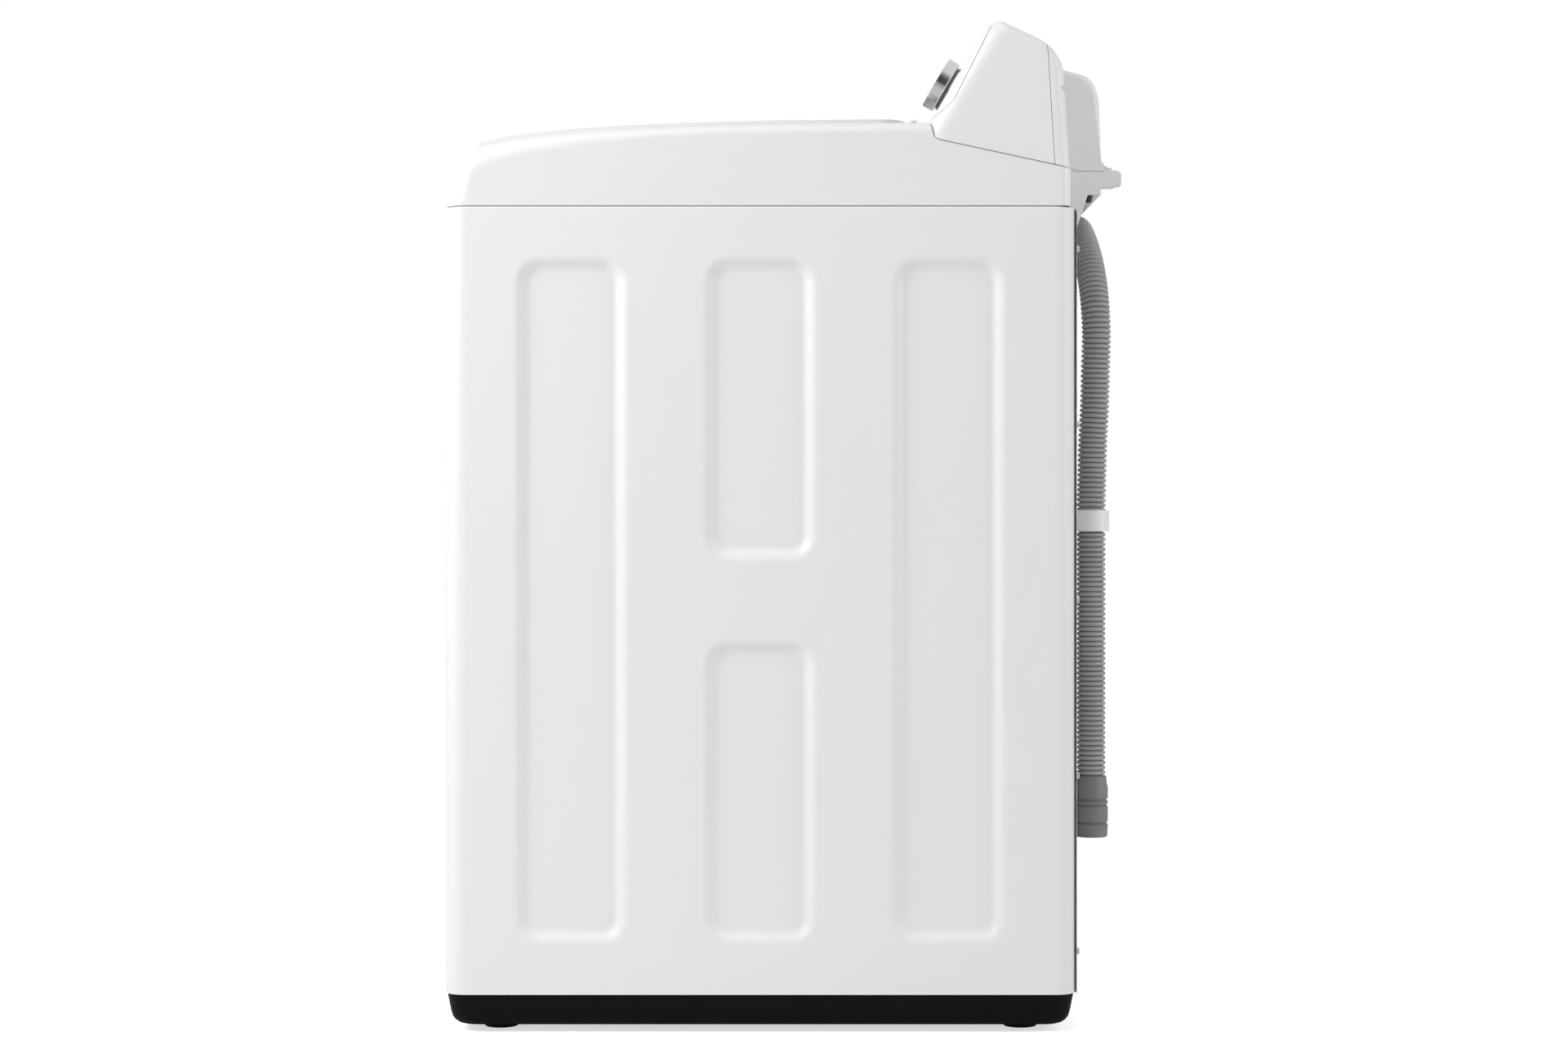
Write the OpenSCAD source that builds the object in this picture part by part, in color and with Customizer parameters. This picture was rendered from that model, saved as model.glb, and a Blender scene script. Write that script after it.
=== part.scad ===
// Top load washing machine with a rear console, a suspended tub and a direct drive.
// Millimetres, +Z up. The front faces -Y, and the origin is on the floor under the middle of the machine.

/* [Cabinet] */
// Width of the painted cabinet
cab_w = 686; // [600:1:830]
// Depth of the painted cabinet
cab_d = 691; // [640:1:830]
// Height of the cabinet wrap, from the skirt to the top cover
cab_h = 860; // [740:1:1040]
// Radius of the upright corners
cab_r = 24; // [16:1:32]
// Thickness of the cabinet sheet
sheet = 1; // [0.6:0.1:1.5]
// Width of the flanges that carry the rear panel
flange_w = 27; // [20:1:40]
// Depth of the pressed side panels
press_d = 6; // [3:0.5:9]
// Width of a pressed side panel
press_w = 128; // [90:1:150]
// Corner radius of a pressed side panel
press_r = 28; // [10:1:40]
// Distance between the pressed panels, middle to middle
press_pitch = 206; // [170:1:230]
// Plain sheet below and above the pressed panels
press_margin = 52; // [35:1:70]
// Plain sheet between the two short middle panels
press_gap = 80; // [50:1:120]

/* [Base] */
// Height of the skirt's lower edge above the floor
skirt_drop = 8; // [5:1:15]
// Height of the black skirt
skirt_h = 35; // [28:1:50]
// Radius of a foot pad
foot_r = 20; // [15:1:26]
// Radius of a foot stud
stud_r = 5; // [4:0.5:7]
// Distance of a foot from the cabinet's faces
foot_inset = 58; // [45:1:75]

/* [Top cover and lid] */
// Rise of the top cover from the cabinet to the console
cover_rise = 92.5; // [80:0.5:110]
// Wall of the top cover and of the console
wall = 3; // [2:0.5:4]
// Width of the mouth over the basket
mouth_w = 440; // [380:1:460]
// Depth of the mouth over the basket
mouth_d = 402; // [350:1:410]
// Corner radius of the mouth
mouth_r = 90; // [40:1:120]
// Distance of the lid's side edge from the cabinet's side
lid_inset = 63; // [50:1:75]
// Thickness of the lid frame
lid_t = 9; // [7:0.5:12]
// Thickness of the lid glass
glass_t = 4; // [3:0.5:5]
// Radius of the lid hinge pins
hinge_pin_r = 3; // [2.5:0.1:4]

/* [Console] */
// Height of the console above the cabinet wrap
console_rise = 205; // [185:1:230]
// Radius of the cycle knob
knob_r = 30.5; // [25:0.5:35]
// Thickness of the cycle knob
knob_t = 13.6; // [10:0.1:18]
// Sideways place of the cycle knob
knob_x = 213; // [190:1:230]
// Radius of the power and start buttons
round_button_r = 11; // [8:0.5:14]
// Width of an option button
option_button_w = 30; // [20:1:36]
// Travel of a button
button_travel = 1.3; // [0.8:0.1:1.5]

/* [Tub and drive] */
// Gap between the tub and the nearer pair of cabinet walls
tub_gap = 43; // [38:1:60]
// Wall of the plastic tub
tub_wall = 4; // [3:0.5:6]
// Height of the tub's underside above the floor
tub_low = 290; // [285:1:310]
// Gap between the tub and the basket
basket_gap = 26; // [22:1:35]
// Thickness of the basket's steel
basket_t = 1.2; // [0.8:0.1:2]
// Radius of the pulsator
pulsator_r = 195; // [160:1:210]
// Radius of the drive shaft
drive_r = 12.5; // [10:0.5:14]
// Wall of the hollow spin shaft
spin_wall = 4.4; // [3.5:0.1:6]

/* [Services] */
// Radius of the two hose threads on the inlet valve
port_r = 13.2; // [12.5:0.1:14]
// Outer radius of the drain hose
hose_r = 16.5; // [14:0.5:18]
// Outer radius of the drain hose cuff
cuff_r = 19; // [17:0.5:21]
// Bore radius of the power cord gland
gland_bore_r = 3.6; // [3:0.1:5]
// Half width of the rear hood
hood_half_w = 260; // [235:1:275]

/* [Hidden] */
$fn = 64;

// Clearances: between pieces that only pass each other, and round a turning shaft
gap = 0.3;
running = 0.06;
eps = 0.01;

// The cabinet stands forward of the origin by half of what its rear fittings reach behind it
rear_reach = 58;
cabinet_y = -rear_reach / 2;
base_z = skirt_drop + skirt_h;
skirt_rail = 17;
top_z = base_z + cab_h;
front_y = -cab_d / 2;
rear_y = cab_d / 2;

// Tub, basket and drive train heights
tub_y = -20;
tub_r = min(cab_w, cab_d) / 2 - tub_gap;
tub_high = top_z - 23;
tub_floor = 8;
basket_r = tub_r - tub_wall - basket_gap;
mouth_ring_r = basket_r - 35;
ring_low = tub_high - 35;
basket_low = tub_low + 30;
base_t = 2;
spin_r = drive_r + running + spin_wall;
bearing_r = spin_r + 14;
housing_r = bearing_r + 24;
housing_low = tub_low - 68;
stator_r = housing_r + 57;
rotor_r = stator_r + 12;
rotor_low = tub_low - 94;
rotor_floor = 4;
hub_h = 8;
coupler_low = rotor_low + 12;
coupler_h = 11;
coupler_r = spin_r + 17;
groove_deep = 4;
groove_low = coupler_low + 3.5;
groove_h = 4;
lever_t = 3;
lever_x = 95;
lever_z = groove_low + groove_h / 2;

// Suspension
rod_inset = 62;
rod_r = 4;
lug_low = tub_low + 110;
lug_t = 12;
spring_low = tub_low + 46;
brace_z = top_z - 43;

// Drain pump, under the tub's sump
pump_x = 60;
pump_y = -190;
pump_low = base_z + 19;
chamber_low = pump_low + 38;
chamber_h = 36;
chamber_r = 42;
sump_r = 18;
sump_port_h = 28;
pump_port_top = chamber_low + chamber_h + 25;
inner_hose_r = 12;
inner_hose_x = pump_x - 25;
inner_hose_z = chamber_low + 14;
inner_hose_y = rear_y - 25;
outlet_z = top_z - 38;

// Side profiles, as [y, z] in the cabinet's own frame
deck_end = rear_y - 161;
function curve(a, b, c, d, steps) = [for (i = [0:steps]) let (t = i / steps)
    pow(1 - t, 3) * a + 3 * pow(1 - t, 2) * t * b + 3 * (1 - t) * t * t * c + pow(t, 3) * d];
nose = [front_y + 57.5, top_z + cover_rise - 21];
deck = [deck_end, top_z + cover_rise];
cover_line = concat(
    curve([front_y + 1, top_z], [front_y + 10.5, nose.y - 12], [front_y + 13.5, nose.y - 10], nose, 7),
    [for (p = curve(nose, nose + [42, 10], deck - [292, 0], deck, 8)) if (p.x > nose.x + eps) p]);
cover_back = rear_y - 6;
cover_points = concat(cover_line, [
    [deck_end, top_z + 75], [cover_back, top_z + 41.5], [cover_back, top_z]]);
lid_nose = nose + [-6, 10.6];
lid_front_y = front_y + 3.5;
lid_rear_y = deck_end - 22.5;
lid_line = concat(
    curve([lid_front_y, nose.y - 9], [lid_front_y + 6, nose.y - 2], lid_nose - [18, 4.2], lid_nose, 6),
    [for (p = curve(lid_nose, lid_nose + [43, 10], [lid_rear_y - 270, deck.y + 11],
        [lid_rear_y, deck.y + 11], 8)) if (p.x > lid_nose.x + eps) p]);
function lid_z(y) = lookup(y, lid_line);
function deck_z(y) = lookup(y, cover_line);

// Console outline, from its lower front corner over the top and down the rear
panel_foot = [rear_y - 157.7, top_z + 97.4];
panel_head = [rear_y - 98.1, top_z + console_rise - 7.1];
ridge = [rear_y - 84.7, top_z + console_rise];
rear_seam_high = [rear_y - 32.2, top_z + console_rise - 25];
rear_round = [rear_y - 19.8, top_z + console_rise - 39];
rear_round_low = [rear_y - 14.5, top_z + console_rise - 51.6];
rear_foot = [rear_y - 7.3, top_z + 42.2];
rear_seam_low = [rear_y - 24.2, top_z + 45.9];
heel = [rear_y - 150.6, top_z + 73.3];
heel_front = [rear_y - 155, top_z + 76];
lip = [rear_y - 159.9, top_z + 91.5];
panel_tilt = atan2(panel_head.x - panel_foot.x, panel_head.y - panel_foot.y);
panel_len = norm(panel_head - panel_foot);
function panel_point(up, out) = panel_foot
    + up * [sin(panel_tilt), cos(panel_tilt)] + out * [-cos(panel_tilt), sin(panel_tilt)];
seam_head = panel_point(panel_len + 7.4, -3.8);
seam_foot = panel_point(27.9, -10.3);
seam_toe = panel_point(18.2, -7.8);
function unit(v) = v / norm(v);
function inset(p, t) = [for (i = [0:len(p) - 1]) let (
    u = unit(p[i] - p[(i + len(p) - 1) % len(p)]),
    v = unit(p[(i + 1) % len(p)] - p[i]),
    m = [u.y, -u.x],
    n = [v.y, -v.x])
    p[i] + (m + n) * t / (1 + m * n)];
console_points = [panel_foot, panel_head, ridge, rear_seam_high, rear_round_low, rear_foot, heel];

// Controls on the fascia: half way up, and spread across its width
control_up = panel_len * 0.47;
power_x = -knob_x - 72;
start_x = knob_x + 74;
option_x = [for (i = [0:2]) power_x + 62 + 52 * i];
display_x = 20;
display_w = 150;
display_h = 44;
bezel_r = 22;
bezel_t = 6;
button_back = 6;

// Rear services
hood_back = rear_y + 35.7;
box_low = top_z + 21.8;
box_high = top_z + 48;
valve_x = -110;
port_x = [valve_x - 40, valve_x + 40];
port_z = top_z + 82;
port_end = rear_y + 50;
gland_x = 248.5;
gland_y = rear_y + 21;
spigot_x = 55;
spigot_end = 70;
spigot_y = rear_y + 21.5;
spigot_z = top_z - 1;
clip_drop = 354;
hose_end = spigot_z - 630;
cuff_low = hose_end - 69;
hose_x = 225;
hose_y = cabinet_y + spigot_y;

// The drain hose's route: out of the spigot, over in a wide bend and down the rear, as steps from the spigot
hose_steps = [
    [70, 0, 0], [93, 0, 0], [127, 1, -4], [159, 3, -18], [186, 6, -39], [207, 9, -66], [220, 11, -97],
    [hose_x, 12, -132], [hose_x, 11, -172], [hose_x, 10, -212], [hose_x, 8, -252], [hose_x, 7, -292],
    for (drop = [332, 372, 422, 472, 522, 572, 630]) [hose_x, 6, -drop]];
hose_route = [for (p = hose_steps) p + [0, hose_y, spigot_z]];

// Lid lock and dispenser places
strike_x = cab_w / 2 - 98;
strike_y = -60;
bolt_w = 8;
drawer_x = -155;
drawer_w = 90;
drawer_d = 78;
drawer_h = 38;
drawer_low = top_z + 14;
housing_front = front_y + 26;

// Colours
white = "#f2f3f5";
black = "#17181a";
dark = "#3a3b3d";
grey = "#77787b";
zinc = "#b9bcc0";
steel = "#c9ccd0";

// ---- Shared shapes -------------------------------------------------------------------------------

module at_cabinet() { translate([0, cabinet_y, 0]) children(); }
module at_tub() { translate([0, cabinet_y + tub_y, 0]) children(); }
module at_pump() { translate([pump_x, cabinet_y + pump_y, 0]) children(); }
module both_sides() { children(); mirror([1, 0, 0]) children(); }
module four_corners(inset_by) {
    for (x = [-1, 1], y = [-1, 1])
        translate([x * (cab_w / 2 - inset_by), y * (cab_d / 2 - inset_by), 0]) children();
}

// A flat rounded rectangle with true arcs
module round_rect(w, d, r) {
    square([w - 2 * r, d], center = true);
    square([w, d - 2 * r], center = true);
    for (x = [-1, 1], y = [-1, 1]) translate([x * (w / 2 - r), y * (d / 2 - r)]) circle(r);
}
module round_block(w, d, h, r) { linear_extrude(h) round_rect(w, d, r); }

// A side profile of [y, z] points drawn across the machine's width
module across(points, w) {
    translate([-w / 2, 0, 0]) rotate([90, 0, 90]) linear_extrude(w) polygon(points);
}

// Puts +Z along the fascia's outward normal and +Y up the fascia
module on_fascia(x, up) {
    translate([x, panel_point(up, 0).x, panel_point(up, 0).y])
        rotate([-panel_tilt, 0, 0]) rotate([90, 0, 0]) children();
}
module tube(r_out, r_in, h) {
    difference() {
        cylinder(r = r_out, h = h);
        translate([0, 0, -1]) cylinder(r = r_in, h = h + 2);
    }
}

// ---- Cabinet -------------------------------------------------------------------------------------

// One pressed panel as a rounded plate, from depth a to depth b inside the side's outer face
module press_plate(y, low, high, a, b, grow) {
    translate([cab_w / 2 - b, y, (low + high) / 2]) rotate([90, 0, 90])
        round_block(press_w + 2 * grow, high - low + 2 * grow, b - a, press_r + grow);
}
module side_presses(a, b, grow) {
    low = base_z + press_margin;
    high = top_z - press_margin;
    middle = (low + high) / 2;
    both_sides() {
        for (y = [-press_pitch, press_pitch]) press_plate(y, low, high, a, b, grow);
        press_plate(0, low, middle - press_gap / 2, a, b, grow);
        press_plate(0, middle + press_gap / 2, high, a, b, grow);
    }
}

// Front and sides are one folded sheet, with rear flanges, pressed sides and a welded brace in each corner
module cabinet_wrap() color(white) at_cabinet() {
    difference() {
        union() {
            difference() {
                translate([0, 0, base_z]) round_block(cab_w, cab_d, cab_h, cab_r);
                translate([0, 0, base_z - 1])
                    round_block(cab_w - 2 * sheet, cab_d - 2 * sheet, cab_h + 2, cab_r - sheet);
                translate([-cab_w / 2 + flange_w, 0, base_z - 1]) cube([cab_w - 2 * flange_w, cab_d, cab_h + 2]);
            }
            side_presses(sheet / 2, press_d + sheet, sheet);
        }
        side_presses(-1, press_d, 0);
    }
    brace = 100;
    difference() {
        intersection() {
            translate([0, 0, brace_z]) round_block(cab_w - sheet, cab_d - sheet, 3, cab_r - sheet / 2);
            four_corners(0) translate([-brace, -brace, 0]) cube([2 * brace, 2 * brace, top_z]);
        }
        four_corners(rod_inset) translate([0, 0, brace_z - 1]) cylinder(r = rod_r + 2, h = 5);
    }
}

rear_screws = [for (x = [-1, 1], k = [0:4]) [x * (cab_w / 2 - flange_w + 7), base_z + 45 + k * (cab_h - 90) / 4]];

// Galvanised rear panel with a raised middle field
module rear_panel() color(zinc) at_cabinet() {
    raised = 4;
    field_w = cab_w - 156;
    field_low = base_z + 230;
    field_high = top_z - 166;
    plate_w = cab_w - 2 * (flange_w - 14);
    difference() {
        union() {
            translate([-plate_w / 2, rear_y, base_z]) cube([plate_w, sheet, cab_h - 1]);
            translate([-field_w / 2, rear_y, field_low])
                cube([field_w, sheet + raised, field_high - field_low]);
        }
        translate([-field_w / 2 + sheet, rear_y - 1, field_low + sheet])
            cube([field_w - 2 * sheet, raised + 1, field_high - field_low - 2 * sheet]);
        translate([inner_hose_x, rear_y - 1, outlet_z]) rotate([-90, 0, 0]) cylinder(r = inner_hose_r + gap, h = 4);
        for (p = rear_screws) translate([p.x, rear_y - 1, p.y]) rotate([-90, 0, 0]) cylinder(r = 2.1, h = 4);
    }
}
module rear_panel_screws() color(zinc) at_cabinet() for (p = rear_screws)
    translate([p.x, rear_y + sheet, p.y]) rotate([-90, 0, 0]) {
        cylinder(r = 4, h = 3, $fn = 6);
        translate([0, 0, -sheet]) cylinder(r = 2, h = sheet + 1);
    }

// Black plastic skirt, drawn in towards its lower edge
module base_skirt() color(black) at_cabinet() difference() {
    hull() {
        translate([0, 0, base_z - 1 - gap]) round_block(cab_w - 4, cab_d - 4, 1, cab_r - 2, $fn = 32);
        translate([0, 0, skirt_drop + 8]) round_block(cab_w - 14, cab_d - 18, 1, cab_r - 4, $fn = 32);
        translate([0, 0, skirt_drop]) round_block(cab_w - 24, cab_d - 30, 1, cab_r - 6, $fn = 32);
    }
    translate([0, 0, skirt_drop - 1])
        round_block(cab_w - 2 * skirt_rail, cab_d - 2 * skirt_rail - 6, skirt_h + 2, cab_r - 10);
}

// Folded channel round the base, with foot plates and a cross rail for the pump
module base_frame() color(zinc) at_cabinet() {
    low = base_z - 5;
    high = base_z + 17;
    w = cab_w - 2 * skirt_rail - 2 * running;
    d = cab_d - 2 * skirt_rail - 6 - 2 * running;
    rail = 34;
    difference() {
        union() {
            translate([0, 0, low]) round_block(w, d, high - low, cab_r - 10);
            translate([0, 0, high - 2])
                round_block(cab_w - 2 * sheet - 2 * running, cab_d - 2 * sheet - 2 * running, 2, cab_r - sheet);
        }
        translate([0, 0, low - 1]) round_block(w - 2 * rail, d - 2 * rail, high - low + 2, 6);
        difference() {
            translate([0, 0, low - 1]) round_block(w - 4, d - 4, high - low - 1, 10);
            translate([0, 0, low - 2]) round_block(w - 2 * rail + 4, d - 2 * rail + 4, high - low + 2, 8);
            four_corners(foot_inset) translate([0, 0, low]) cylinder(r = stud_r + 7, h = high - low);
        }
        four_corners(foot_inset) translate([0, 0, low - 1]) cylinder(r = stud_r + running, h = high - low + 2);
    }
    translate([-w / 2 + rail - 1, pump_y - 30, high - 6]) cube([w - 2 * rail + 2, 60, 3]);
}
module foot_pads() color(black) at_cabinet() four_corners(foot_inset) difference() {
    cylinder(r1 = foot_r - 1.5, r2 = foot_r, h = 12);
    translate([0, 0, 6]) cylinder(r = stud_r + gap, h = 7);
}
module foot_studs() color(zinc) at_cabinet() four_corners(foot_inset) {
    translate([0, 0, 6]) cylinder(r = stud_r, h = base_z + 20);
    translate([0, 0, 12]) cylinder(r = stud_r + 5, h = 6, $fn = 6);
    translate([0, 0, base_z - 13]) cylinder(r = stud_r + 4, h = 8, $fn = 6);
}

// ---- Top cover, lid and dispenser ----------------------------------------------------------------

mouth_y = deck_end - 44 - mouth_d / 2;
module mouth(grow, low, high) {
    translate([0, mouth_y, low]) round_block(mouth_w + 2 * grow, mouth_d + 2 * grow, high - low, mouth_r + grow);
}
module cover_block(by) {
    intersection() {
        across(inset(cover_points, by), cab_w - 2.4 - 2 * by);
        translate([0, (front_y + 1 + cover_back) / 2, top_z - 5])
            round_block(cab_w - 2.4 - 2 * by, cover_back - front_y - 1 - 2 * by, cover_rise + 20, cab_r - by);
    }
}
module top_cover() color(white) at_cabinet() difference() {
    union() {
        difference() {
            cover_block(0);
            cover_block(wall);
            translate([-cab_w / 2 + 6, front_y + 7, top_z - 1]) cube([cab_w - 12, cover_back - front_y - 13, 5]);
        }
        intersection() {
            cover_block(wall / 2);
            difference() {
                mouth(wall, top_z + 27, top_z + cover_rise);
                mouth(0, top_z + 26, top_z + cover_rise + 1);
            }
        }
    }
    mouth(0, top_z + 26, top_z + cover_rise + 1);
    translate([strike_x - 8, strike_y - 18, top_z + 60]) cube([14, 36, 60]);
    translate([drawer_x - drawer_w / 2 - 1, mouth_y - mouth_d / 2 - 12, top_z + 5])
        cube([drawer_w + 2, mouth_r, drawer_h + 18]);
}

// The frame is a bowed slab with a window, a rebate for the glass, two hinge ears and a lock strike
module lid_slab(a, b) {
    across(concat([for (p = lid_line) [p.x, p.y - a]],
        [for (i = [len(lid_line) - 1:-1:0]) [lid_line[i].x, lid_line[i].y - b]]), cab_w - 2 * lid_inset);
}
lid_w = cab_w - 2 * lid_inset;
lid_y = (lid_front_y + lid_rear_y) / 2;
lid_d = lid_rear_y - lid_front_y;
window_w = lid_w - 170;
window_d = lid_d - 170;
hinge_y = lid_rear_y + 9;
hinge_z = deck.y + 6.8;
ear_r = hinge_pin_r + 3;
ear_x = lid_w / 2 - 37;
ear_w = 14;
bracket_w = 12;
module window_block(grow) {
    translate([0, lid_y, top_z]) round_block(window_w + 2 * grow, window_d + 2 * grow, 200, 40 + grow);
}
module lid_frame() color(white) at_cabinet() {
    difference() {
        union() {
            intersection() {
                lid_slab(0, lid_t);
                translate([0, lid_y, top_z]) round_block(lid_w, lid_d, 200, 30);
            }
            both_sides() translate([ear_x - ear_w / 2, 0, 0]) {
                translate([0, hinge_y, hinge_z]) rotate([0, 90, 0]) cylinder(r = ear_r, h = ear_w);
                translate([0, lid_rear_y - 6, hinge_z - 3]) cube([ear_w, hinge_y - lid_rear_y + 6, 6]);
            }
        }
        window_block(0);
        intersection() {
            window_block(14 + gap);
            lid_slab(2.5, lid_t + 5);
        }
        both_sides() translate([ear_x - ear_w, hinge_y, hinge_z]) rotate([0, 90, 0])
            cylinder(r = hinge_pin_r, h = 2 * ear_w);
    }
    strike_top = lid_z(strike_y) - lid_t + 1;
    difference() {
        translate([strike_x - 1.5, strike_y - 10, strike_top - 29]) cube([3, 20, 29]);
        translate([strike_x - 3, strike_y - bolt_w / 2 - 1, strike_top - 24]) cube([6, bolt_w + 2, bolt_w + 2]);
    }
}
module lid_glass() color("#39444a", 0.6) at_cabinet() intersection() {
    window_block(14);
    lid_slab(2.5, 2.5 + glass_t);
}
module lid_hinge_pins() color(zinc) at_cabinet() both_sides()
    translate([ear_x - ear_w / 2, hinge_y, hinge_z]) rotate([0, 90, 0])
        cylinder(r = hinge_pin_r, h = ear_w + gap + bracket_w);
module lid_hinge_brackets() color(dark) at_cabinet() both_sides()
    translate([ear_x + ear_w / 2 + gap, hinge_y, 0]) difference() {
        union() {
            translate([0, -ear_r, deck.y]) cube([bracket_w, 2 * ear_r, hinge_z - deck.y]);
            translate([0, 0, hinge_z]) rotate([0, 90, 0]) cylinder(r = ear_r, h = bracket_w);
        }
        translate([-1, 0, hinge_z]) rotate([0, 90, 0]) cylinder(r = hinge_pin_r + running, h = bracket_w + 2);
    }

// The lock hangs under the deck; its bolt slides out through the lid's strike
bolt_z = lid_z(strike_y) - lid_t + 1 - 24 + (bolt_w + 2) / 2;
module lid_lock_body() color(dark) at_cabinet() difference() {
    union() {
        translate([strike_x + 10, strike_y - 30, bolt_z - 12]) cube([34, 60, 22]);
        for (y = [-28, 18]) translate([strike_x + 14, strike_y + y, bolt_z])
            cube([26, 10, deck_z(strike_y + y) - wall + 1 - bolt_z]);
    }
    translate([strike_x + 9, strike_y - bolt_w / 2 - gap, bolt_z - bolt_w / 2 - gap])
        cube([24, bolt_w + 2 * gap, bolt_w + 2 * gap]);
}
module lid_lock_bolt() color(steel) at_cabinet()
    translate([strike_x + 9, strike_y - bolt_w / 2, bolt_z - bolt_w / 2]) cube([23, bolt_w, bolt_w]);

// Detergent drawer under the front of the deck; it slides back over the basket
module dispenser_housing() color(white) at_cabinet() difference() {
    union() {
        translate([drawer_x - drawer_w / 2, housing_front, drawer_low]) cube([drawer_w, drawer_d, drawer_h]);
        for (x = [-38, 30]) translate([drawer_x + x, housing_front + 60, drawer_low + drawer_h - 1])
            cube([8, 8, deck_z(housing_front + 60) - wall + 2 - drawer_low - drawer_h]);
    }
    translate([drawer_x - drawer_w / 2 + 2, housing_front + 2, drawer_low + 2])
        cube([drawer_w - 4, drawer_d, drawer_h - 4]);
}
module detergent_drawer() color("#c7d3dd") at_cabinet() {
    w = drawer_w - 4 - 2 * gap;
    h = drawer_h - 4 - 2 * gap - 1;
    translate([drawer_x - w / 2, housing_front + 2 + gap, drawer_low + 2 + gap]) difference() {
        union() {
            cube([w, drawer_d - 4, h]);
            translate([0, drawer_d - 4, 0]) cube([w, 6, h]);
        }
        translate([2, 2, 2]) cube([w - 4, drawer_d - 10, h]);
    }
}

// ---- Console and controls ------------------------------------------------------------------------

module console_hollow() { across(inset(console_points, wall), cab_w - 2 * wall); }
module option_outline(grow) { round_rect(option_button_w + 2 * grow, 12 + 2 * grow, 5 + grow, $fn = 32); }
module console_fascia() color(white) at_cabinet() difference() {
    across([panel_foot, panel_head, seam_head, seam_foot, seam_toe], cab_w);
    console_hollow();
    on_fascia(knob_x, control_up) translate([0, 0, -20]) cylinder(r = 4.5, h = 30);
    for (x = [power_x, start_x]) on_fascia(x, control_up)
        translate([0, 0, -10]) cylinder(r = round_button_r + gap, h = 20);
    for (x = option_x) on_fascia(x, control_up) translate([0, 0, -10]) linear_extrude(20) option_outline(gap);
    on_fascia(display_x, control_up + 4) translate([0, 0, -10])
        round_block(display_w, display_h, 20, 6);
}
module console_shell() color(white) at_cabinet() difference() {
    across([panel_foot + [gap, -gap], seam_toe + [0, -gap], seam_foot + [gap, 0], seam_head + [gap, 0],
        ridge, rear_seam_high - [gap, 0], rear_seam_low - [gap, 0], heel, heel_front, lip], cab_w);
    console_hollow();
}
module console_rear_cover() color(white) at_cabinet() difference() {
    across([rear_seam_high, rear_round, rear_round_low, rear_foot, rear_seam_low], cab_w);
    console_hollow();
}
module display_window() color(black) at_cabinet() on_fascia(display_x, control_up + 4)
    translate([0, 0, -wall]) round_block(display_w - 2 * gap, display_h - 2 * gap, wall + 0.4, 6 - gap);

// Board behind the fascia, with a switch behind each button and the knob's encoder
board_top = -button_back - button_travel - gap - 5;
module control_board() color("#2f6b3f") at_cabinet() {
    on_fascia(0, control_up) translate([0, 0, board_top - 1.6]) difference() {
        translate([-cab_w / 2 + 34, -30, 0]) cube([cab_w - 68, 62, 1.6]);
        translate([knob_x, 0, -1]) cylinder(r = 3.3, h = 4);
    }
    for (x = [-1, 1], y = [-26, 27]) on_fascia(x * (cab_w / 2 - 40), control_up)
        translate([0, y, board_top - eps]) cylinder(r = 3, h = -board_top - wall + eps);
    for (x = concat(option_x, [power_x, start_x])) on_fascia(x, control_up)
        translate([0, 0, board_top - eps]) cylinder(r = 3, h = 5, $fn = 32);
    on_fascia(knob_x, control_up) translate([0, 0, board_top]) difference() {
        cylinder(r = 12, h = -board_top - wall - 1);
        translate([0, 0, -1]) cylinder(r = 3 + running, h = 30);
    }
}
module knob_bezel() color(dark) at_cabinet() on_fascia(knob_x, control_up)
    translate([0, 0, eps]) tube(bezel_r, 4.5, bezel_t);
module cycle_knob() color(steel) at_cabinet() on_fascia(knob_x, control_up) {
    difference() {
        translate([0, 0, bezel_t + 2 * gap]) cylinder(r = knob_r, h = knob_t);
        translate([0, 0, bezel_t]) tube(knob_r - 4, 8, 6);
    }
    translate([0, 0, board_top - 1.6]) cylinder(r = 3, h = -board_top + 1.6 + bezel_t + 3);
}
module round_button(x) color(white) at_cabinet() on_fascia(x, control_up) {
    translate([0, 0, -button_back]) cylinder(r = round_button_r, h = button_back + 1.5);
    translate([0, 0, -button_back]) cylinder(r = round_button_r + 2, h = button_back - wall - gap);
}
module option_button(i) color(white) at_cabinet() on_fascia(option_x[i], control_up)
    translate([0, 0, -button_back]) {
        linear_extrude(button_back + 1.2) option_outline(0);
        linear_extrude(button_back - wall - gap) option_outline(2);
    }

// ---- Rear services -------------------------------------------------------------------------------

hood_points = [rear_round + [gap, -0.2], [rear_y + 18.4, top_z + 155.7], [rear_y + 27.5, top_z + 147.5],
    [rear_y + 33, top_z + 132], [hood_back, top_z + 57], [rear_y + 37.5, top_z + 57],
    [rear_y + 37.5, box_high + gap], [rear_y - 6.5, box_high + gap], rear_round_low + [gap, 0]];
module hood_hollow() {
    across([rear_round_low + [-20, 0], rear_round + [-20, -3], [rear_y + 17.6, top_z + 152.7],
        [rear_y + 25, top_z + 146], [rear_y + 30.2, top_z + 131.5], [rear_y + 33, top_z + 57],
        [rear_y + 33, box_high - 1], [rear_y - 30, box_high - 1]], 2 * hood_half_w - 2 * wall);
}
module rear_hood() color(white) at_cabinet() difference() {
    across(hood_points, 2 * hood_half_w);
    hood_hollow();
    for (x = port_x) translate([x, rear_y, port_z]) rotate([-90, 0, 0]) cylinder(r = port_r + 2, h = 50);
}
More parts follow.
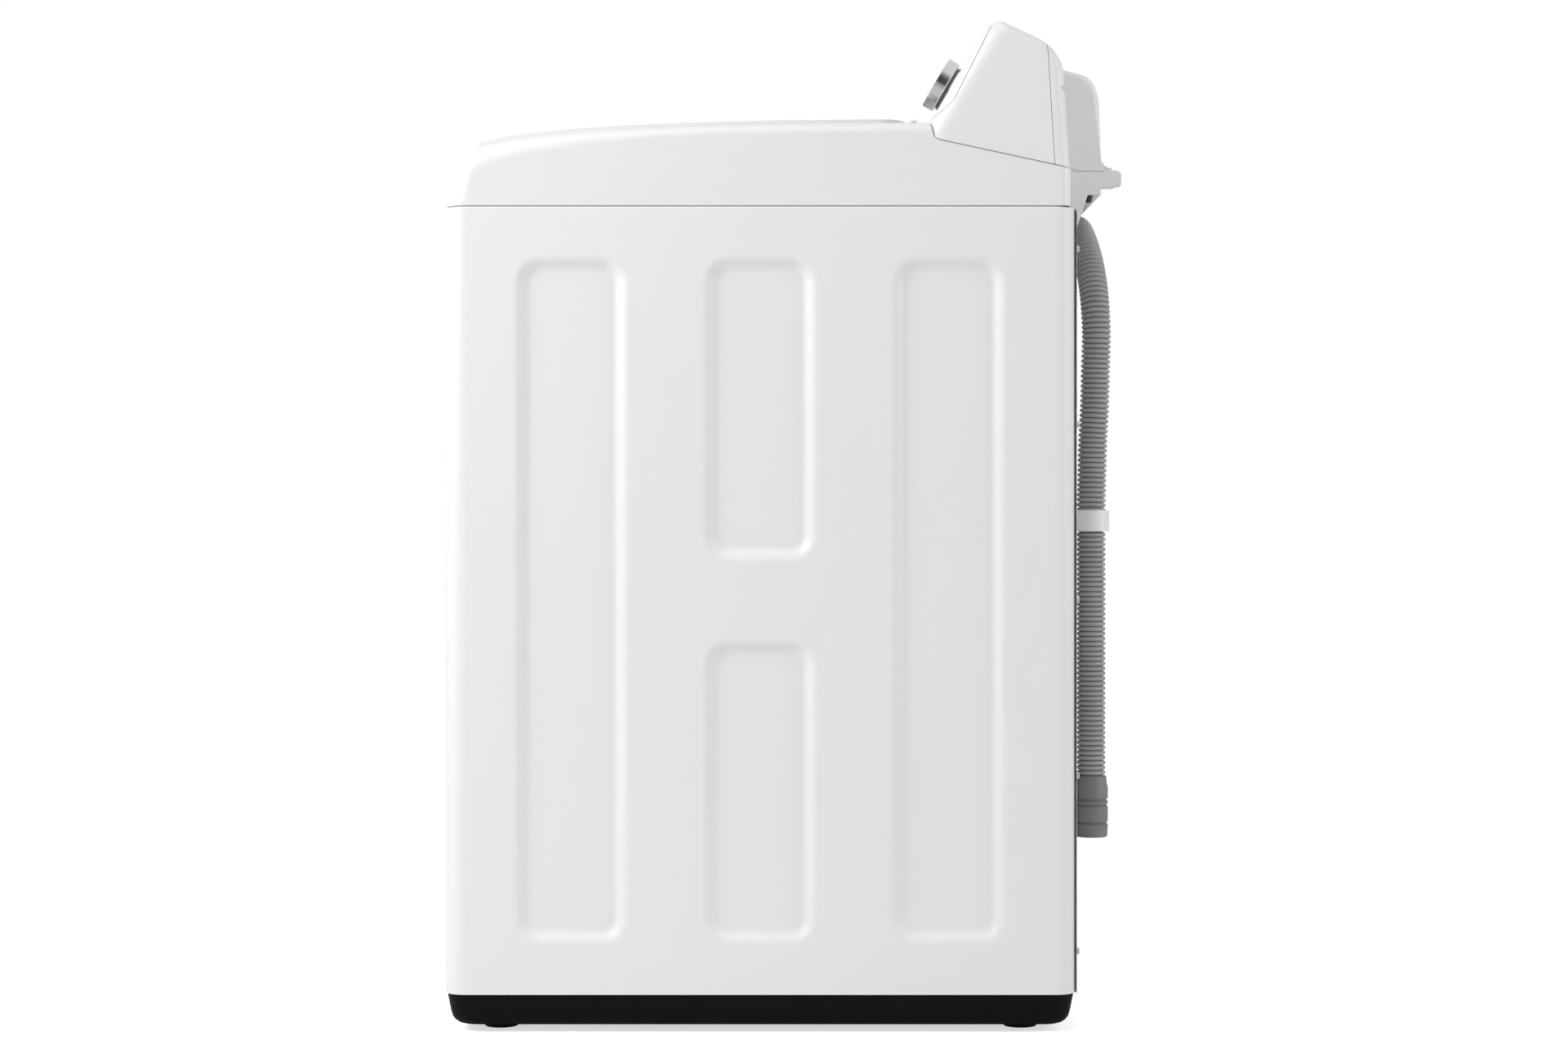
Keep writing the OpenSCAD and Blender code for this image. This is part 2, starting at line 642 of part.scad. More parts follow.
module inlet_box() color(white) at_cabinet() {
    back = rear_y + 34.8;
    difference() {
        translate([-hood_half_w, cover_back + gap, box_low])
            cube([2 * hood_half_w, back - cover_back - gap, box_high - box_low]);
        translate([-hood_half_w + wall, cover_back + gap + wall, box_low + wall])
            cube([2 * hood_half_w - 2 * wall, back - cover_back - gap - 2 * wall, box_high]);
        translate([gland_x, gland_y, box_low - 1]) cylinder(r = 6.2, h = 6);
    }
    both_sides() translate([hood_half_w - 1.5, 0, 0]) across([[rear_y + 1.2, box_low + eps],
        [rear_y + 20.2, box_low + eps], [rear_y + 7.4, top_z - 17], [rear_y + 1.2, top_z - 17]], wall);
}

// Twin inlet valve: two threaded ports out through the hood, each with its solenoid
module inlet_valve() color(grey) at_cabinet() {
    translate([valve_x - 62, rear_y - 2, port_z - 18]) cube([124, 28, 36]);
    for (x = port_x) translate([x, rear_y + 25, port_z]) rotate([-90, 0, 0])
        tube(port_r, port_r - 3.5, port_end - rear_y - 25);
    for (x = port_x) translate([x, rear_y + 12, port_z + 17]) cylinder(r = 12, h = 22);
}
module power_gland() color(black) at_cabinet() translate([gland_x, gland_y, 0]) difference() {
    union() {
        translate([0, 0, box_low - 7.3]) cylinder(r1 = 4.6, r2 = 6, h = 7.3);
        translate([0, 0, box_low]) cylinder(r = 6, h = wall);
        translate([0, 0, box_low + wall]) cylinder(r = 8, h = 4);
    }
    translate([0, 0, box_low - 10]) cylinder(r = gland_bore_r, h = 30);
}

// Moulded latch block on the box's rear, with the tab and screw that hold the hood down
module hood_latch() color(white) at_cabinet() translate([hood_half_w - 16, 0, 0]) {
    back = rear_y + 34.8;
    across([[back, top_z + 31.2], [back + 14, top_z + 31.2], [back + 20, top_z + 33.4],
        [rear_reach + rear_y, top_z + 33.4], [rear_reach + rear_y, top_z + 46], [back + 19.4, top_z + 49.4],
        [rear_y + 37.5 + gap, top_z + 49.4], [rear_y + 37.5 + gap, top_z + 47.7], [back, top_z + 47.7]], 24);
    translate([-12, rear_y + 37.5 + gap, top_z + 49]) cube([10, 11, 5]);
    translate([-7, rear_y + 42, top_z + 53]) cylinder(r = 3, h = 3.4, $fn = 32);
}

// Open plastic ring that holds the drain hose to the rear panel
clip_y = spigot_y + 6;
module hose_clip() color(white) at_cabinet() translate([hose_x, clip_y, spigot_z - clip_drop]) difference() {
    union() {
        cylinder(r = hose_r + 4, h = 24);
        translate([-14, rear_y + 5 + gap - clip_y, 0]) cube([28, clip_y - rear_y - hose_r - 4, 24]);
    }
    translate([0, 0, -1]) cylinder(r = hose_r + gap, h = 26);
}

// Outlet box on the rear panel with a spigot that turns the water sideways
module drain_outlet() color(dark) at_cabinet() difference() {
    union() {
        translate([-20, rear_y + sheet, top_z - 127]) cube([75, 9.5, 140]);
        translate([5, rear_y + sheet, spigot_z - 16]) cube([50, 37, 32]);
        translate([spigot_x - 1, spigot_y, spigot_z]) rotate([0, 90, 0]) cylinder(r = 13, h = spigot_end - spigot_x + 1);
    }
    translate([18, spigot_y, spigot_z]) rotate([0, 90, 0]) cylinder(r = 10, h = 60);
    translate([inner_hose_x, rear_y, outlet_z]) rotate([-90, 0, 0]) cylinder(r = 9, h = 7);
    translate([inner_hose_x - 8, rear_y + 3, outlet_z]) cube([16, 5, spigot_z - outlet_z]);
    translate([inner_hose_x - 8, rear_y + 3, spigot_z - 6]) cube([16, 20, 12]);
}

// A swept tube: rings of points square to the route, joined by quads and closed at the ends
function along(p, i) = unit(p[min(i + 1, len(p) - 1)] - p[max(i - 1, 0)]);
function hose_ring(c, dir, r, n) = let (side = unit(cross(dir, [0, 1, 0])), up = cross(side, dir))
    [for (k = [0:n - 1]) c + r * (cos(360 * k / n) * side + sin(360 * k / n) * up)];
module swept(p, r, n) {
    rings = len(p);
    polyhedron(
        points = [for (i = [0:rings - 1]) each hose_ring(p[i], along(p, i), r, n)],
        faces = concat(
            [[for (k = [0:n - 1]) n - 1 - k]],
            [for (i = [0:rings - 2], k = [0:n - 1])
                [i * n + k, i * n + (k + 1) % n, (i + 1) * n + (k + 1) % n, (i + 1) * n + k]],
            [[for (k = [0:n - 1]) (rings - 1) * n + k]]));
}
module drain_hose() color(grey) swept(hose_route, hose_r, 12);
module drain_hose_cuff() color(dark) translate([hose_x, hose_y + 6, 0]) difference() {
    union() {
        translate([0, 0, cuff_low]) cylinder(r = cuff_r, h = hose_end - cuff_low - 8);
        translate([0, 0, hose_end - 8]) cylinder(r = cuff_r - 1.5, h = 8);
    }
    translate([0, 0, cuff_low - 1]) cylinder(r = cuff_r - 4, h = 50);
}

// Hose inside the cabinet: along the base, up the rear and out through the panel
module inner_drain_hose() color(black) at_cabinet() translate([inner_hose_x, 0, 0]) {
    start_y = pump_y + chamber_r + 22;
    bend = 30;
    low_z = inner_hose_z + bend;
    high_z = outlet_z - bend / 2;
    translate([0, start_y, inner_hose_z]) rotate([-90, 0, 0])
        tube(inner_hose_r, inner_hose_r - 3, inner_hose_y - bend - start_y);
    translate([0, inner_hose_y - bend, low_z]) rotate([90, 0, 0]) rotate([0, 90, 0]) rotate([0, 0, -90])
        rotate_extrude(angle = 90) translate([bend, 0]) difference() {
            circle(inner_hose_r);
            circle(inner_hose_r - 3);
        }
    translate([0, inner_hose_y, low_z]) tube(inner_hose_r, inner_hose_r - 3, high_z - low_z);
    translate([0, inner_hose_y, high_z]) difference() {
        union() {
            cylinder(r = inner_hose_r, h = outlet_z - high_z + inner_hose_r);
            translate([0, 0, outlet_z - high_z]) rotate([-90, 0, 0])
                cylinder(r = inner_hose_r, h = rear_y + sheet - inner_hose_y);
        }
        translate([0, 0, -1]) cylinder(r = inner_hose_r - 3, h = outlet_z - high_z + inner_hose_r - 2);
        translate([0, 0, outlet_z - high_z]) rotate([-90, 0, 0]) cylinder(r = inner_hose_r - 3, h = 60);
    }
}

// ---- Pump and suspension -------------------------------------------------------------------------

module drain_pump_body() color(black) at_pump() difference() {
    union() {
        translate([0, 0, base_z + 14]) cylinder(r = 32, h = chamber_low - base_z - 13);
        translate([0, 0, chamber_low]) cylinder(r = chamber_r, h = chamber_h);
        translate([0, 0, chamber_low + chamber_h - 1]) cylinder(r = sump_r, h = pump_port_top - chamber_low - chamber_h + 1);
        translate([-25, 10, inner_hose_z]) rotate([-90, 0, 0]) cylinder(r = inner_hose_r, h = chamber_r + 12);
    }
    translate([0, 0, chamber_low + 4]) cylinder(r = chamber_r - 4, h = chamber_h - 8);
    translate([0, 0, chamber_low + chamber_h - 5]) cylinder(r = sump_r - 4, h = 60);
    translate([-25, 10, inner_hose_z]) rotate([-90, 0, 0]) cylinder(r = inner_hose_r - 4, h = chamber_r + 13);
    translate([0, 0, chamber_low - 20]) cylinder(r = 3 + running, h = 30);
}
module pump_impeller() color(grey) at_pump() {
    translate([0, 0, chamber_low - 18]) cylinder(r = 3, h = 26);
    translate([0, 0, chamber_low + 6]) cylinder(r = 30, h = 3);
    for (a = [0:60:300]) rotate(a) translate([4, -1, chamber_low + 8]) cube([24, 2, 16]);
    translate([0, 0, chamber_low + 8]) cylinder(r = 6, h = 16);
}
module sump_bellows() color(black) at_pump() translate([0, 0, pump_port_top])
    tube(sump_r + 4, sump_r - 2, tub_low - sump_port_h - pump_port_top);

module suspension_rods() color(zinc) at_cabinet() four_corners(rod_inset) {
    translate([0, 0, spring_low - 6]) cylinder(r = 20, h = 6);
    translate([0, 0, spring_low - 3]) cylinder(r = rod_r, h = brace_z - spring_low + 8);
    translate([0, 0, brace_z + 3]) cylinder(r = 11, h = 9);
}
module suspension_springs() color(steel) at_cabinet() four_corners(rod_inset)
    translate([0, 0, spring_low]) tube(16, 11, lug_low - spring_low);

// ---- Tub -----------------------------------------------------------------------------------------

// Each lug reaches from the tub's wall to its rod
module tub_lugs() {
    for (x = [-1, 1], y = [-1, 1]) {
        rod = [x * (cab_w / 2 - rod_inset), y * (cab_d / 2 - rod_inset) - tub_y];
        translate([0, 0, lug_low]) rotate(atan2(rod.y, rod.x)) difference() {
            union() {
                translate([tub_r - tub_wall / 2, -22, 0]) cube([norm(rod) - tub_r + tub_wall / 2, 44, lug_t]);
                translate([norm(rod), 0, 0]) cylinder(r = 22, h = lug_t);
            }
            translate([norm(rod), 0, -1]) cylinder(r = rod_r + 2, h = lug_t + 2);
        }
    }
}
module outer_tub() color("#dfe1e2") at_tub() {
    difference() {
        translate([0, 0, tub_low]) cylinder(r = tub_r, h = tub_high - tub_low, $fn = 96);
        translate([0, 0, tub_low + tub_floor]) cylinder(r = tub_r - tub_wall, h = tub_high, $fn = 96);
        translate([0, 0, tub_low - 1]) cylinder(r = bearing_r + 2, h = 20);
        translate([pump_x, pump_y - tub_y, tub_low - 1]) cylinder(r = sump_r - 4, h = 20);
    }
    translate([pump_x, pump_y - tub_y, tub_low - sump_port_h]) tube(sump_r, sump_r - 4, sump_port_h + 1);
    tub_lugs();
}
module tub_cover_ring() color("#e9eaec") at_tub() translate([0, 0, tub_high])
    difference() {
        union() {
            cylinder(r = tub_r + 3, h = 8, $fn = 96);
            translate([0, 0, 7]) cylinder(r1 = tub_r - 20, r2 = mouth_ring_r + 6, h = 12, $fn = 96);
        }
        translate([0, 0, -1]) cylinder(r = mouth_ring_r, h = 30, $fn = 96);
        translate([0, 0, 4]) cylinder(r1 = tub_r - 20, r2 = mouth_ring_r + 1, h = 12.2, $fn = 96);
    }
module bearing_housing() color(zinc) at_tub() difference() {
    union() {
        translate([0, 0, housing_low]) cylinder(r = housing_r, h = tub_low - housing_low);
        translate([0, 0, tub_low - 6]) cylinder(r = housing_r + 48, h = 6);
    }
    translate([0, 0, housing_low + 5]) cylinder(r = bearing_r, h = 100);
    translate([0, 0, housing_low - 1]) cylinder(r = spin_r + 2, h = 10);
}
module main_bearings() color(steel) at_tub() for (z = [housing_low + 5, tub_low - 18])
    translate([0, 0, z]) tube(bearing_r, spin_r + running, 16);
module tub_seal() color(black) at_tub() translate([0, 0, tub_low]) tube(bearing_r + 2, spin_r + running, tub_floor + 2);

// Wound ring round the bearing housing, with the ears of the clutch lever's pivot underneath
module stator() color("#8a5a33") at_tub() {
    low = housing_low + 10;
    translate([0, 0, low]) tube(stator_r, housing_r, 24);
    for (y = [-9, 6]) translate([lever_x - 6, y, 0]) difference() {
        translate([0, 0, lever_z - 5]) cube([12, 3, low - lever_z + 5]);
        translate([6, -1, lever_z]) rotate([-90, 0, 0]) cylinder(r = 2 + running, h = 5);
    }
}

// ---- Basket, pulsator and clutch -----------------------------------------------------------------

module basket_shell() color(steel) at_tub() translate([0, 0, basket_low])
    difference() {
        cylinder(r = basket_r, h = ring_low - basket_low, $fn = 96);
        translate([0, 0, -1]) cylinder(r = basket_r - basket_t, h = ring_low, $fn = 96);
    }
module basket_base() color(steel) at_tub() difference() {
    union() {
        translate([0, 0, basket_low]) cylinder(r = basket_r - basket_t, h = base_t, $fn = 96);
        translate([0, 0, basket_low - 8]) cylinder(r = 46, h = 18);
    }
    translate([0, 0, basket_low - 20]) cylinder(r = spin_r, h = 60);
}
module balance_ring() color("#e6e8ea") at_tub() translate([0, 0, ring_low]) difference() {
    cylinder(r = basket_r + 2, h = 31, $fn = 96);
    translate([0, 0, -1]) cylinder(r = mouth_ring_r + 3, h = 40, $fn = 96);
    translate([0, 0, 3]) tube(basket_r - 1, mouth_ring_r + 6, 25, $fn = 96);
}
module spin_shaft() color(steel) at_tub() translate([0, 0, rotor_low + 9])
    tube(spin_r, drive_r + running, basket_low + 9 - rotor_low - 9);
module pulsator() color("#d8dde2") at_tub() difference() {
    union() {
        rotate_extrude($fn = 96) polygon([
            [0, basket_low + 15], [pulsator_r - 8, basket_low + 15], [pulsator_r, basket_low + 20],
            [pulsator_r, basket_low + 26], [60, basket_low + 40], [42, basket_low + 52], [0, basket_low + 52]]);
        for (a = [0:90:270]) rotate(a) translate([40, -8, basket_low + 22]) cube([pulsator_r - 60, 16, 34]);
    }
    translate([0, 0, basket_low]) cylinder(r = drive_r, h = 49);
}
module pulsator_cap() color(grey) at_tub() translate([0, 0, basket_low + 52]) cylinder(r1 = 34, r2 = 26, h = 9);
module drive_shaft() color(steel) at_tub() translate([0, 0, rotor_low - 4])
    cylinder(r = drive_r, h = basket_low + 49 - rotor_low + 4);
module rotor() color(grey) at_tub() translate([0, 0, rotor_low]) difference() {
    union() {
        cylinder(r = rotor_r, h = rotor_floor);
        cylinder(r = 26, h = hub_h);
        tube(rotor_r, rotor_r - 8, 62);
    }
    translate([0, 0, -1]) cylinder(r = drive_r, h = 20);
}
module clutch_coupler() color(dark) at_tub() translate([0, 0, coupler_low]) difference() {
    cylinder(r = coupler_r, h = coupler_h);
    translate([0, 0, -1]) cylinder(r = spin_r + running, h = coupler_h + 2);
    translate([0, 0, groove_low - coupler_low]) tube(coupler_r + 1, coupler_r - groove_deep, groove_h);
}
module clutch_lever() color(zinc) at_tub() {
    tongue_x = coupler_r - groove_deep + 1;
    translate([tongue_x, -5.5, lever_z - lever_t / 2]) cube([lever_x - tongue_x + 4, 11, lever_t]);
    translate([lever_x, -9.5, lever_z]) rotate([-90, 0, 0]) cylinder(r = 2, h = 19);
}

// ---- Selection -----------------------------------------------------------------------------------

cabinet_wrap();
rear_panel();
rear_panel_screws();
base_skirt();
base_frame();
foot_pads();
foot_studs();
top_cover();
console_fascia();
console_shell();
console_rear_cover();
display_window();
control_board();
knob_bezel();
rear_hood();
inlet_box();
inlet_valve();
power_gland();
hood_latch();
hose_clip();
drain_outlet();
drain_hose();
drain_hose_cuff();
inner_drain_hose();
drain_pump_body();
sump_bellows();
suspension_rods();
suspension_springs();
lid_hinge_brackets();
lid_lock_body();
dispenser_housing();
outer_tub();
tub_cover_ring();
bearing_housing();
stator();
main_bearings();
tub_seal();
basket_shell();
basket_base();
balance_ring();
spin_shaft();
pulsator();
pulsator_cap();
drive_shaft();
rotor();
clutch_coupler();
clutch_lever();
pump_impeller();
lid_frame();
lid_glass();
lid_hinge_pins();
lid_lock_bolt();
cycle_knob();
round_button(power_x);  // power_button
round_button(start_x);  // start_button
option_button(0);  // option_button_1
option_button(1);  // option_button_2
option_button(2);  // option_button_3
detergent_drawer();
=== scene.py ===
import math

import bmesh
import bpy
from mathutils import Matrix, Vector


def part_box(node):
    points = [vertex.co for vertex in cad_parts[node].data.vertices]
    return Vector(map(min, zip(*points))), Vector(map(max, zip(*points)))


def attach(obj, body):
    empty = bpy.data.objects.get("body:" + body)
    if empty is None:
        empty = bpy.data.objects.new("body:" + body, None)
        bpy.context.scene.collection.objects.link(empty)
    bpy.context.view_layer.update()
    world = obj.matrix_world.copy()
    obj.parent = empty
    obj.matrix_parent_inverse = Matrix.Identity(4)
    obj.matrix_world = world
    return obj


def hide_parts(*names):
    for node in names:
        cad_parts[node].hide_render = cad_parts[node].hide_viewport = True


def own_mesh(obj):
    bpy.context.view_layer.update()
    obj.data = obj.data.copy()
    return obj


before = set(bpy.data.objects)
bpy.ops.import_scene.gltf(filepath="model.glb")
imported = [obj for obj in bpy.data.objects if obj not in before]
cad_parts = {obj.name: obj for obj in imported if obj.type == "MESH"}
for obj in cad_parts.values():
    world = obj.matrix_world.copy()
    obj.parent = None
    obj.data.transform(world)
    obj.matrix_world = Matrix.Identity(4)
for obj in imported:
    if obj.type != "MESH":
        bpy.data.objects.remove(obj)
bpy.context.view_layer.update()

# ---- The room ------------------------------------------------------------------------------------
# A pale flat floor, soft white light from all round with a large lamp over the front, and a level
# camera square to the machine's right-hand side. Metal mirrors the darker room behind the camera.

cabinet_low, cabinet_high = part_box("cabinet_wrap")
eye_distance = 3.125
view_width = 1.7088
sensor_width = 36.0

camera = bpy.data.objects.new("camera", bpy.data.cameras.new("camera"))
camera.data.sensor_width = sensor_width
camera.data.lens = sensor_width * eye_distance / view_width
camera.data.clip_end = 60
camera.location = (cabinet_high[0] + eye_distance, -0.0032, 0.558)
camera.rotation_euler = (math.radians(90), 0, math.radians(90))
bpy.context.collection.objects.link(camera)
bpy.context.scene.camera = camera
bpy.context.scene.view_settings.view_transform = "Standard"


def node(tree, kind, values=(), **settings):
    """Adds a node, with its settings and the values on its own sockets."""
    made = tree.nodes.new(kind)
    for key, value in settings.items():
        setattr(made, key, value)
    for key, value in values:
        made.inputs[key].default_value = value
    return made


def wire(tree, *runs):
    """Joins nodes; each run is a node, its output, the node it feeds and the input there."""
    for giver, outlet, taker, inlet in runs:
        tree.links.new(giver.outputs[outlet], taker.inputs[inlet])


white = (1, 1, 1, 1)
room = bpy.data.worlds.new("room")
room.use_nodes = True
room_nodes = room.node_tree
backdrop = room_nodes.nodes["Background"]
backdrop.inputs["Color"].default_value = white
soft_fill = node(room_nodes, "ShaderNodeBackground", [("Color", white), ("Strength", 0.43)])
dark_side = node(room_nodes, "ShaderNodeBackground", [("Color", white)])
heading = node(room_nodes, "ShaderNodeTexCoord")
split_heading = node(room_nodes, "ShaderNodeSeparateXYZ")
falloff = node(room_nodes, "ShaderNodeMapRange",
               [("From Min", 0.55), ("From Max", 0.97), ("To Min", 0.85), ("To Max", 0.04)],
               interpolation_type="SMOOTHSTEP")
sight = node(room_nodes, "ShaderNodeLightPath")
mirrored = node(room_nodes, "ShaderNodeMixShader")
either = node(room_nodes, "ShaderNodeMixShader")
wire(room_nodes,
     (heading, "Generated", split_heading, "Vector"), (split_heading, "X", falloff, "Value"),
     (falloff, "Result", dark_side, "Strength"), (sight, "Is Glossy Ray", mirrored, "Fac"),
     (soft_fill, "Background", mirrored, 1), (dark_side, "Background", mirrored, 2),
     (sight, "Is Camera Ray", either, "Fac"), (mirrored, "Shader", either, 1),
     (backdrop, "Background", either, 2),
     (either, "Shader", room_nodes.nodes["World Output"], "Surface"))
bpy.context.scene.world = room


def lamp(name, place, aim, size, power):
    """A rectangular softbox, aimed at a point."""
    light = bpy.data.lights.new(name, "AREA")
    light.shape = "RECTANGLE"
    light.size, light.size_y = size
    light.energy = power
    thing = bpy.data.objects.new(name, light)
    thing.location = place
    thing.rotation_euler = (Vector(aim) - Vector(place)).to_track_quat("-Z", "Y").to_euler()
    bpy.context.collection.objects.link(thing)


lamp("front_softbox", (1.35, -1.9, 1.9), (0.3, -0.3, 0.9), (1.4, 1.4), 46)
lamp("rear_softbox", (1.2, 2.8, 1.5), (0.3, 0.3, 0.7), (0.9, 2.2), 27)
lamp("top_softbox", (0.9, -0.3, 3.0), (0, 0, 0.8), (1.6, 1.6), 6)


def blank(name):
    """A new finish: the material, its nodes and its shader."""
    made = bpy.data.materials.new(name)
    made.use_nodes = True
    return made, made.node_tree, made.node_tree.nodes["Principled BSDF"]


floor_sheet = bmesh.new()
bmesh.ops.create_grid(floor_sheet, x_segments=1, y_segments=1, size=14)
floor_mesh = bpy.data.meshes.new("floor")
floor_sheet.to_mesh(floor_mesh)
floor_sheet.free()
floor = bpy.data.objects.new("floor", floor_mesh)
bpy.context.collection.objects.link(floor)
pale, floor_nodes, floor_shader = blank("pale_floor")
floor_shader.inputs["Base Color"].default_value = (0.93, 0.93, 0.93, 1)
floor_shader.inputs["Roughness"].default_value = 0.9
floor_shader.inputs["Specular IOR Level"].default_value = 0.1
seen_white = node(floor_nodes, "ShaderNodeEmission", [("Strength", 0.62)])
floor_sight = node(floor_nodes, "ShaderNodeLightPath")
added = node(floor_nodes, "ShaderNodeAddShader")
only_seen = node(floor_nodes, "ShaderNodeMixShader")
wire(floor_nodes,
     (floor_shader, "BSDF", added, 0), (seen_white, "Emission", added, 1),
     (floor_sight, "Is Camera Ray", only_seen, "Fac"), (floor_shader, "BSDF", only_seen, 1),
     (added, "Shader", only_seen, 2),
     (only_seen, "Shader", floor_nodes.nodes["Material Output"], "Surface"))
floor_mesh.materials.append(pale)


# ---- Drain hose ----------------------------------------------------------------------------------
# Corrugated polypropylene hose. It leaves the outlet's spigot sideways, turns over in a wide bend
# and hangs down the rear through its clip to the cuff. Blown in one piece, with a ring every 5.6 mm.

def new_group(name, inputs, outputs):
    """An empty node group with named sockets, and its ends; an input is (name, kind, value)."""
    group = bpy.data.node_groups.new(name, "ShaderNodeTree")
    for key, kind, value in inputs:
        group.interface.new_socket(key, in_out="INPUT", socket_type=kind).default_value = value
    for key, kind in outputs:
        group.interface.new_socket(key, in_out="OUTPUT", socket_type=kind)
    return group, node(group, "NodeGroupInput"), node(group, "NodeGroupOutput")


def maths(tree, operation, a, b):
    """A sum on two values or sockets; returns its output."""
    made = node(tree, "ShaderNodeMath", operation=operation)
    for inlet, value in zip(made.inputs, (a, b)):
        if isinstance(value, (int, float)):
            inlet.default_value = value
        else:
            tree.links.new(value, inlet)
    return made.outputs[0]


haze_group, given, result = new_group(
    "surface_haze",
    [("Colour", "NodeSocketColor", (0.8, 0.8, 0.8, 1)), ("Variation", "NodeSocketFloat", 0.05),
     ("Scale", "NodeSocketFloat", 8.0), ("Roughness", "NodeSocketFloat", 0.4),
     ("Spread", "NodeSocketFloat", 0.05)],
    [("Colour", "NodeSocketColor"), ("Roughness", "NodeSocketFloat")])
where = node(haze_group, "ShaderNodeTexCoord")
cloud = node(haze_group, "ShaderNodeTexNoise", [("Detail", 4)])
grit = node(haze_group, "ShaderNodeTexNoise", [("Detail", 5)])
tinted = node(haze_group, "ShaderNodeVectorMath", operation="SCALE")
drift = maths(haze_group, "SUBTRACT", cloud.outputs["Fac"], 0.5)
tone = maths(haze_group, "ADD", maths(haze_group, "MULTIPLY", drift, given.outputs["Variation"]), 1.0)
uneven = maths(haze_group, "MULTIPLY", maths(haze_group, "SUBTRACT", grit.outputs["Fac"], 0.5),
               given.outputs["Spread"])
wire(haze_group,
     (where, "Object", cloud, "Vector"), (given, "Scale", cloud, "Scale"), (where, "Object", grit, "Vector"),
     (given, "Colour", tinted, 0), (tinted, "Vector", result, "Colour"))
for source, inlet in ((tone, tinted.inputs["Scale"]),
                      (maths(haze_group, "MULTIPLY", given.outputs["Scale"], 3.7), grit.inputs["Scale"]),
                      (maths(haze_group, "ADD", given.outputs["Roughness"], uneven),
                       result.inputs["Roughness"])):
    haze_group.links.new(source, inlet)

grain_group, grain_in, grain_out = new_group("fine_grain", [("Scale", "NodeSocketFloat", 900)],
                                             [("Height", "NodeSocketFloat")])
grain_where = node(grain_group, "ShaderNodeTexCoord")
speck = node(grain_group, "ShaderNodeTexNoise", [("Detail", 3)])
wire(grain_group, (grain_where, "Object", speck, "Vector"), (grain_in, "Scale", speck, "Scale"),
     (speck, "Fac", grain_out, "Height"))


def with_haze(tree, shader, colour, variation, scale, roughness, spread):
    """Feeds a shader a colour and a roughness that drift slightly over the surface."""
    haze = node(tree, "ShaderNodeGroup", node_tree=haze_group)
    for key, value in (("Colour", (*colour, 1)), ("Variation", variation), ("Scale", scale),
                       ("Roughness", roughness), ("Spread", spread)):
        haze.inputs[key].default_value = value
    wire(tree, (haze, "Colour", shader, "Base Color"), (haze, "Roughness", shader, "Roughness"))


def with_relief(tree, shader, group, key, value, depth):
    """Feeds a shader's normal from a group's height, to a depth in millimetres."""
    relief = node(tree, "ShaderNodeGroup", node_tree=group)
    relief.inputs[key].default_value = value
    bump = node(tree, "ShaderNodeBump", [("Distance", depth / 1000)])
    wire(tree, (relief, "Height", bump, "Height"), (bump, "Normal", shader, "Normal"))


def stuff(name, colour, roughness, variation=0.05, scale=8, spread=0.08, metallic=0.0, specular=0.5,
          coat=0.0, grain=None):
    """A finish: hazed colour and roughness, and a fine grain given as (scale, depth in millimetres)."""
    made, tree, shader = blank(name)
    for key, value in (("Metallic", metallic), ("Specular IOR Level", specular), ("Coat Weight", coat),
                       ("Coat Roughness", 0.12)):
        shader.inputs[key].default_value = value
    with_haze(tree, shader, colour, variation, scale, roughness, spread)
    if grain:
        with_relief(tree, shader, grain_group, "Scale", *grain)
    return made


def finished(mesh, name, material, body="cabinet", node_name=None, crease=32):
    """Makes a mesh a piece: smooth faces with sharp creases, its finish, its body and its node."""
    if isinstance(mesh, bmesh.types.BMesh):
        made = bpy.data.meshes.new(name)
        mesh.to_mesh(made)
        mesh.free()
        mesh = made
    mesh.shade_smooth()
    mesh.set_sharp_from_angle(angle=math.radians(crease))
    mesh.materials.clear()
    mesh.materials.append(material)
    piece = bpy.data.objects.new(name, mesh)
    bpy.context.collection.objects.link(piece)
    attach(piece, body)
    if node_name:
        for each in [node_name] if isinstance(node_name, str) else node_name:
            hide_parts(each)
    return piece


hose_route = [Vector(p) / 1000 for p in (
    (70, 338, 902), (93, 338, 902), (127, 339, 898), (159, 341, 884), (186, 344, 863), (207, 347, 836),
    (220, 349, 805), (225, 350, 770), (225, 349, 730), (225, 348, 690), (225, 346, 650), (225, 345, 610),
    (225, 344, 570), (225, 344, 530), (225, 344, 480), (225, 344, 430), (225, 344, 380), (225, 344, 330),
    (225, 344, 272))]
hose_crest = 0.0165
hose_valley = 0.0128
ring_pitch = 0.0056
rings_each = 7
hose_sides = 28


def smooth_route(points, step):
    """A smooth curve through every point, walked at even steps, and its length."""
    fine, per_span = [], 24
    for i in range(len(points) - 1):
        before = points[i - 1] if i else points[0] * 2 - points[1]
        after = points[i + 2] if i + 2 < len(points) else points[-1] * 2 - points[-2]
        a, b = points[i], points[i + 1]
        for k in range(per_span):
            t = k / per_span
            fine.append(0.5 * (2 * a + (b - before) * t + (2 * before - 5 * a + 4 * b - after) * t * t
                               + (3 * a - before - 3 * b + after) * t ** 3))
    fine.append(points[-1])
    reach = [0.0]
    for a, b in zip(fine, fine[1:]):
        reach.append(reach[-1] + (b - a).length)
    count = round(reach[-1] / step)
    walked, k = [], 0
    for i in range(count + 1):
        s = reach[-1] * i / count
        while k < len(fine) - 2 and reach[k + 1] < s:
            k += 1
        share = (s - reach[k]) / (reach[k + 1] - reach[k])
        walked.append(fine[k].lerp(fine[k + 1], share))
    return walked, reach[-1]


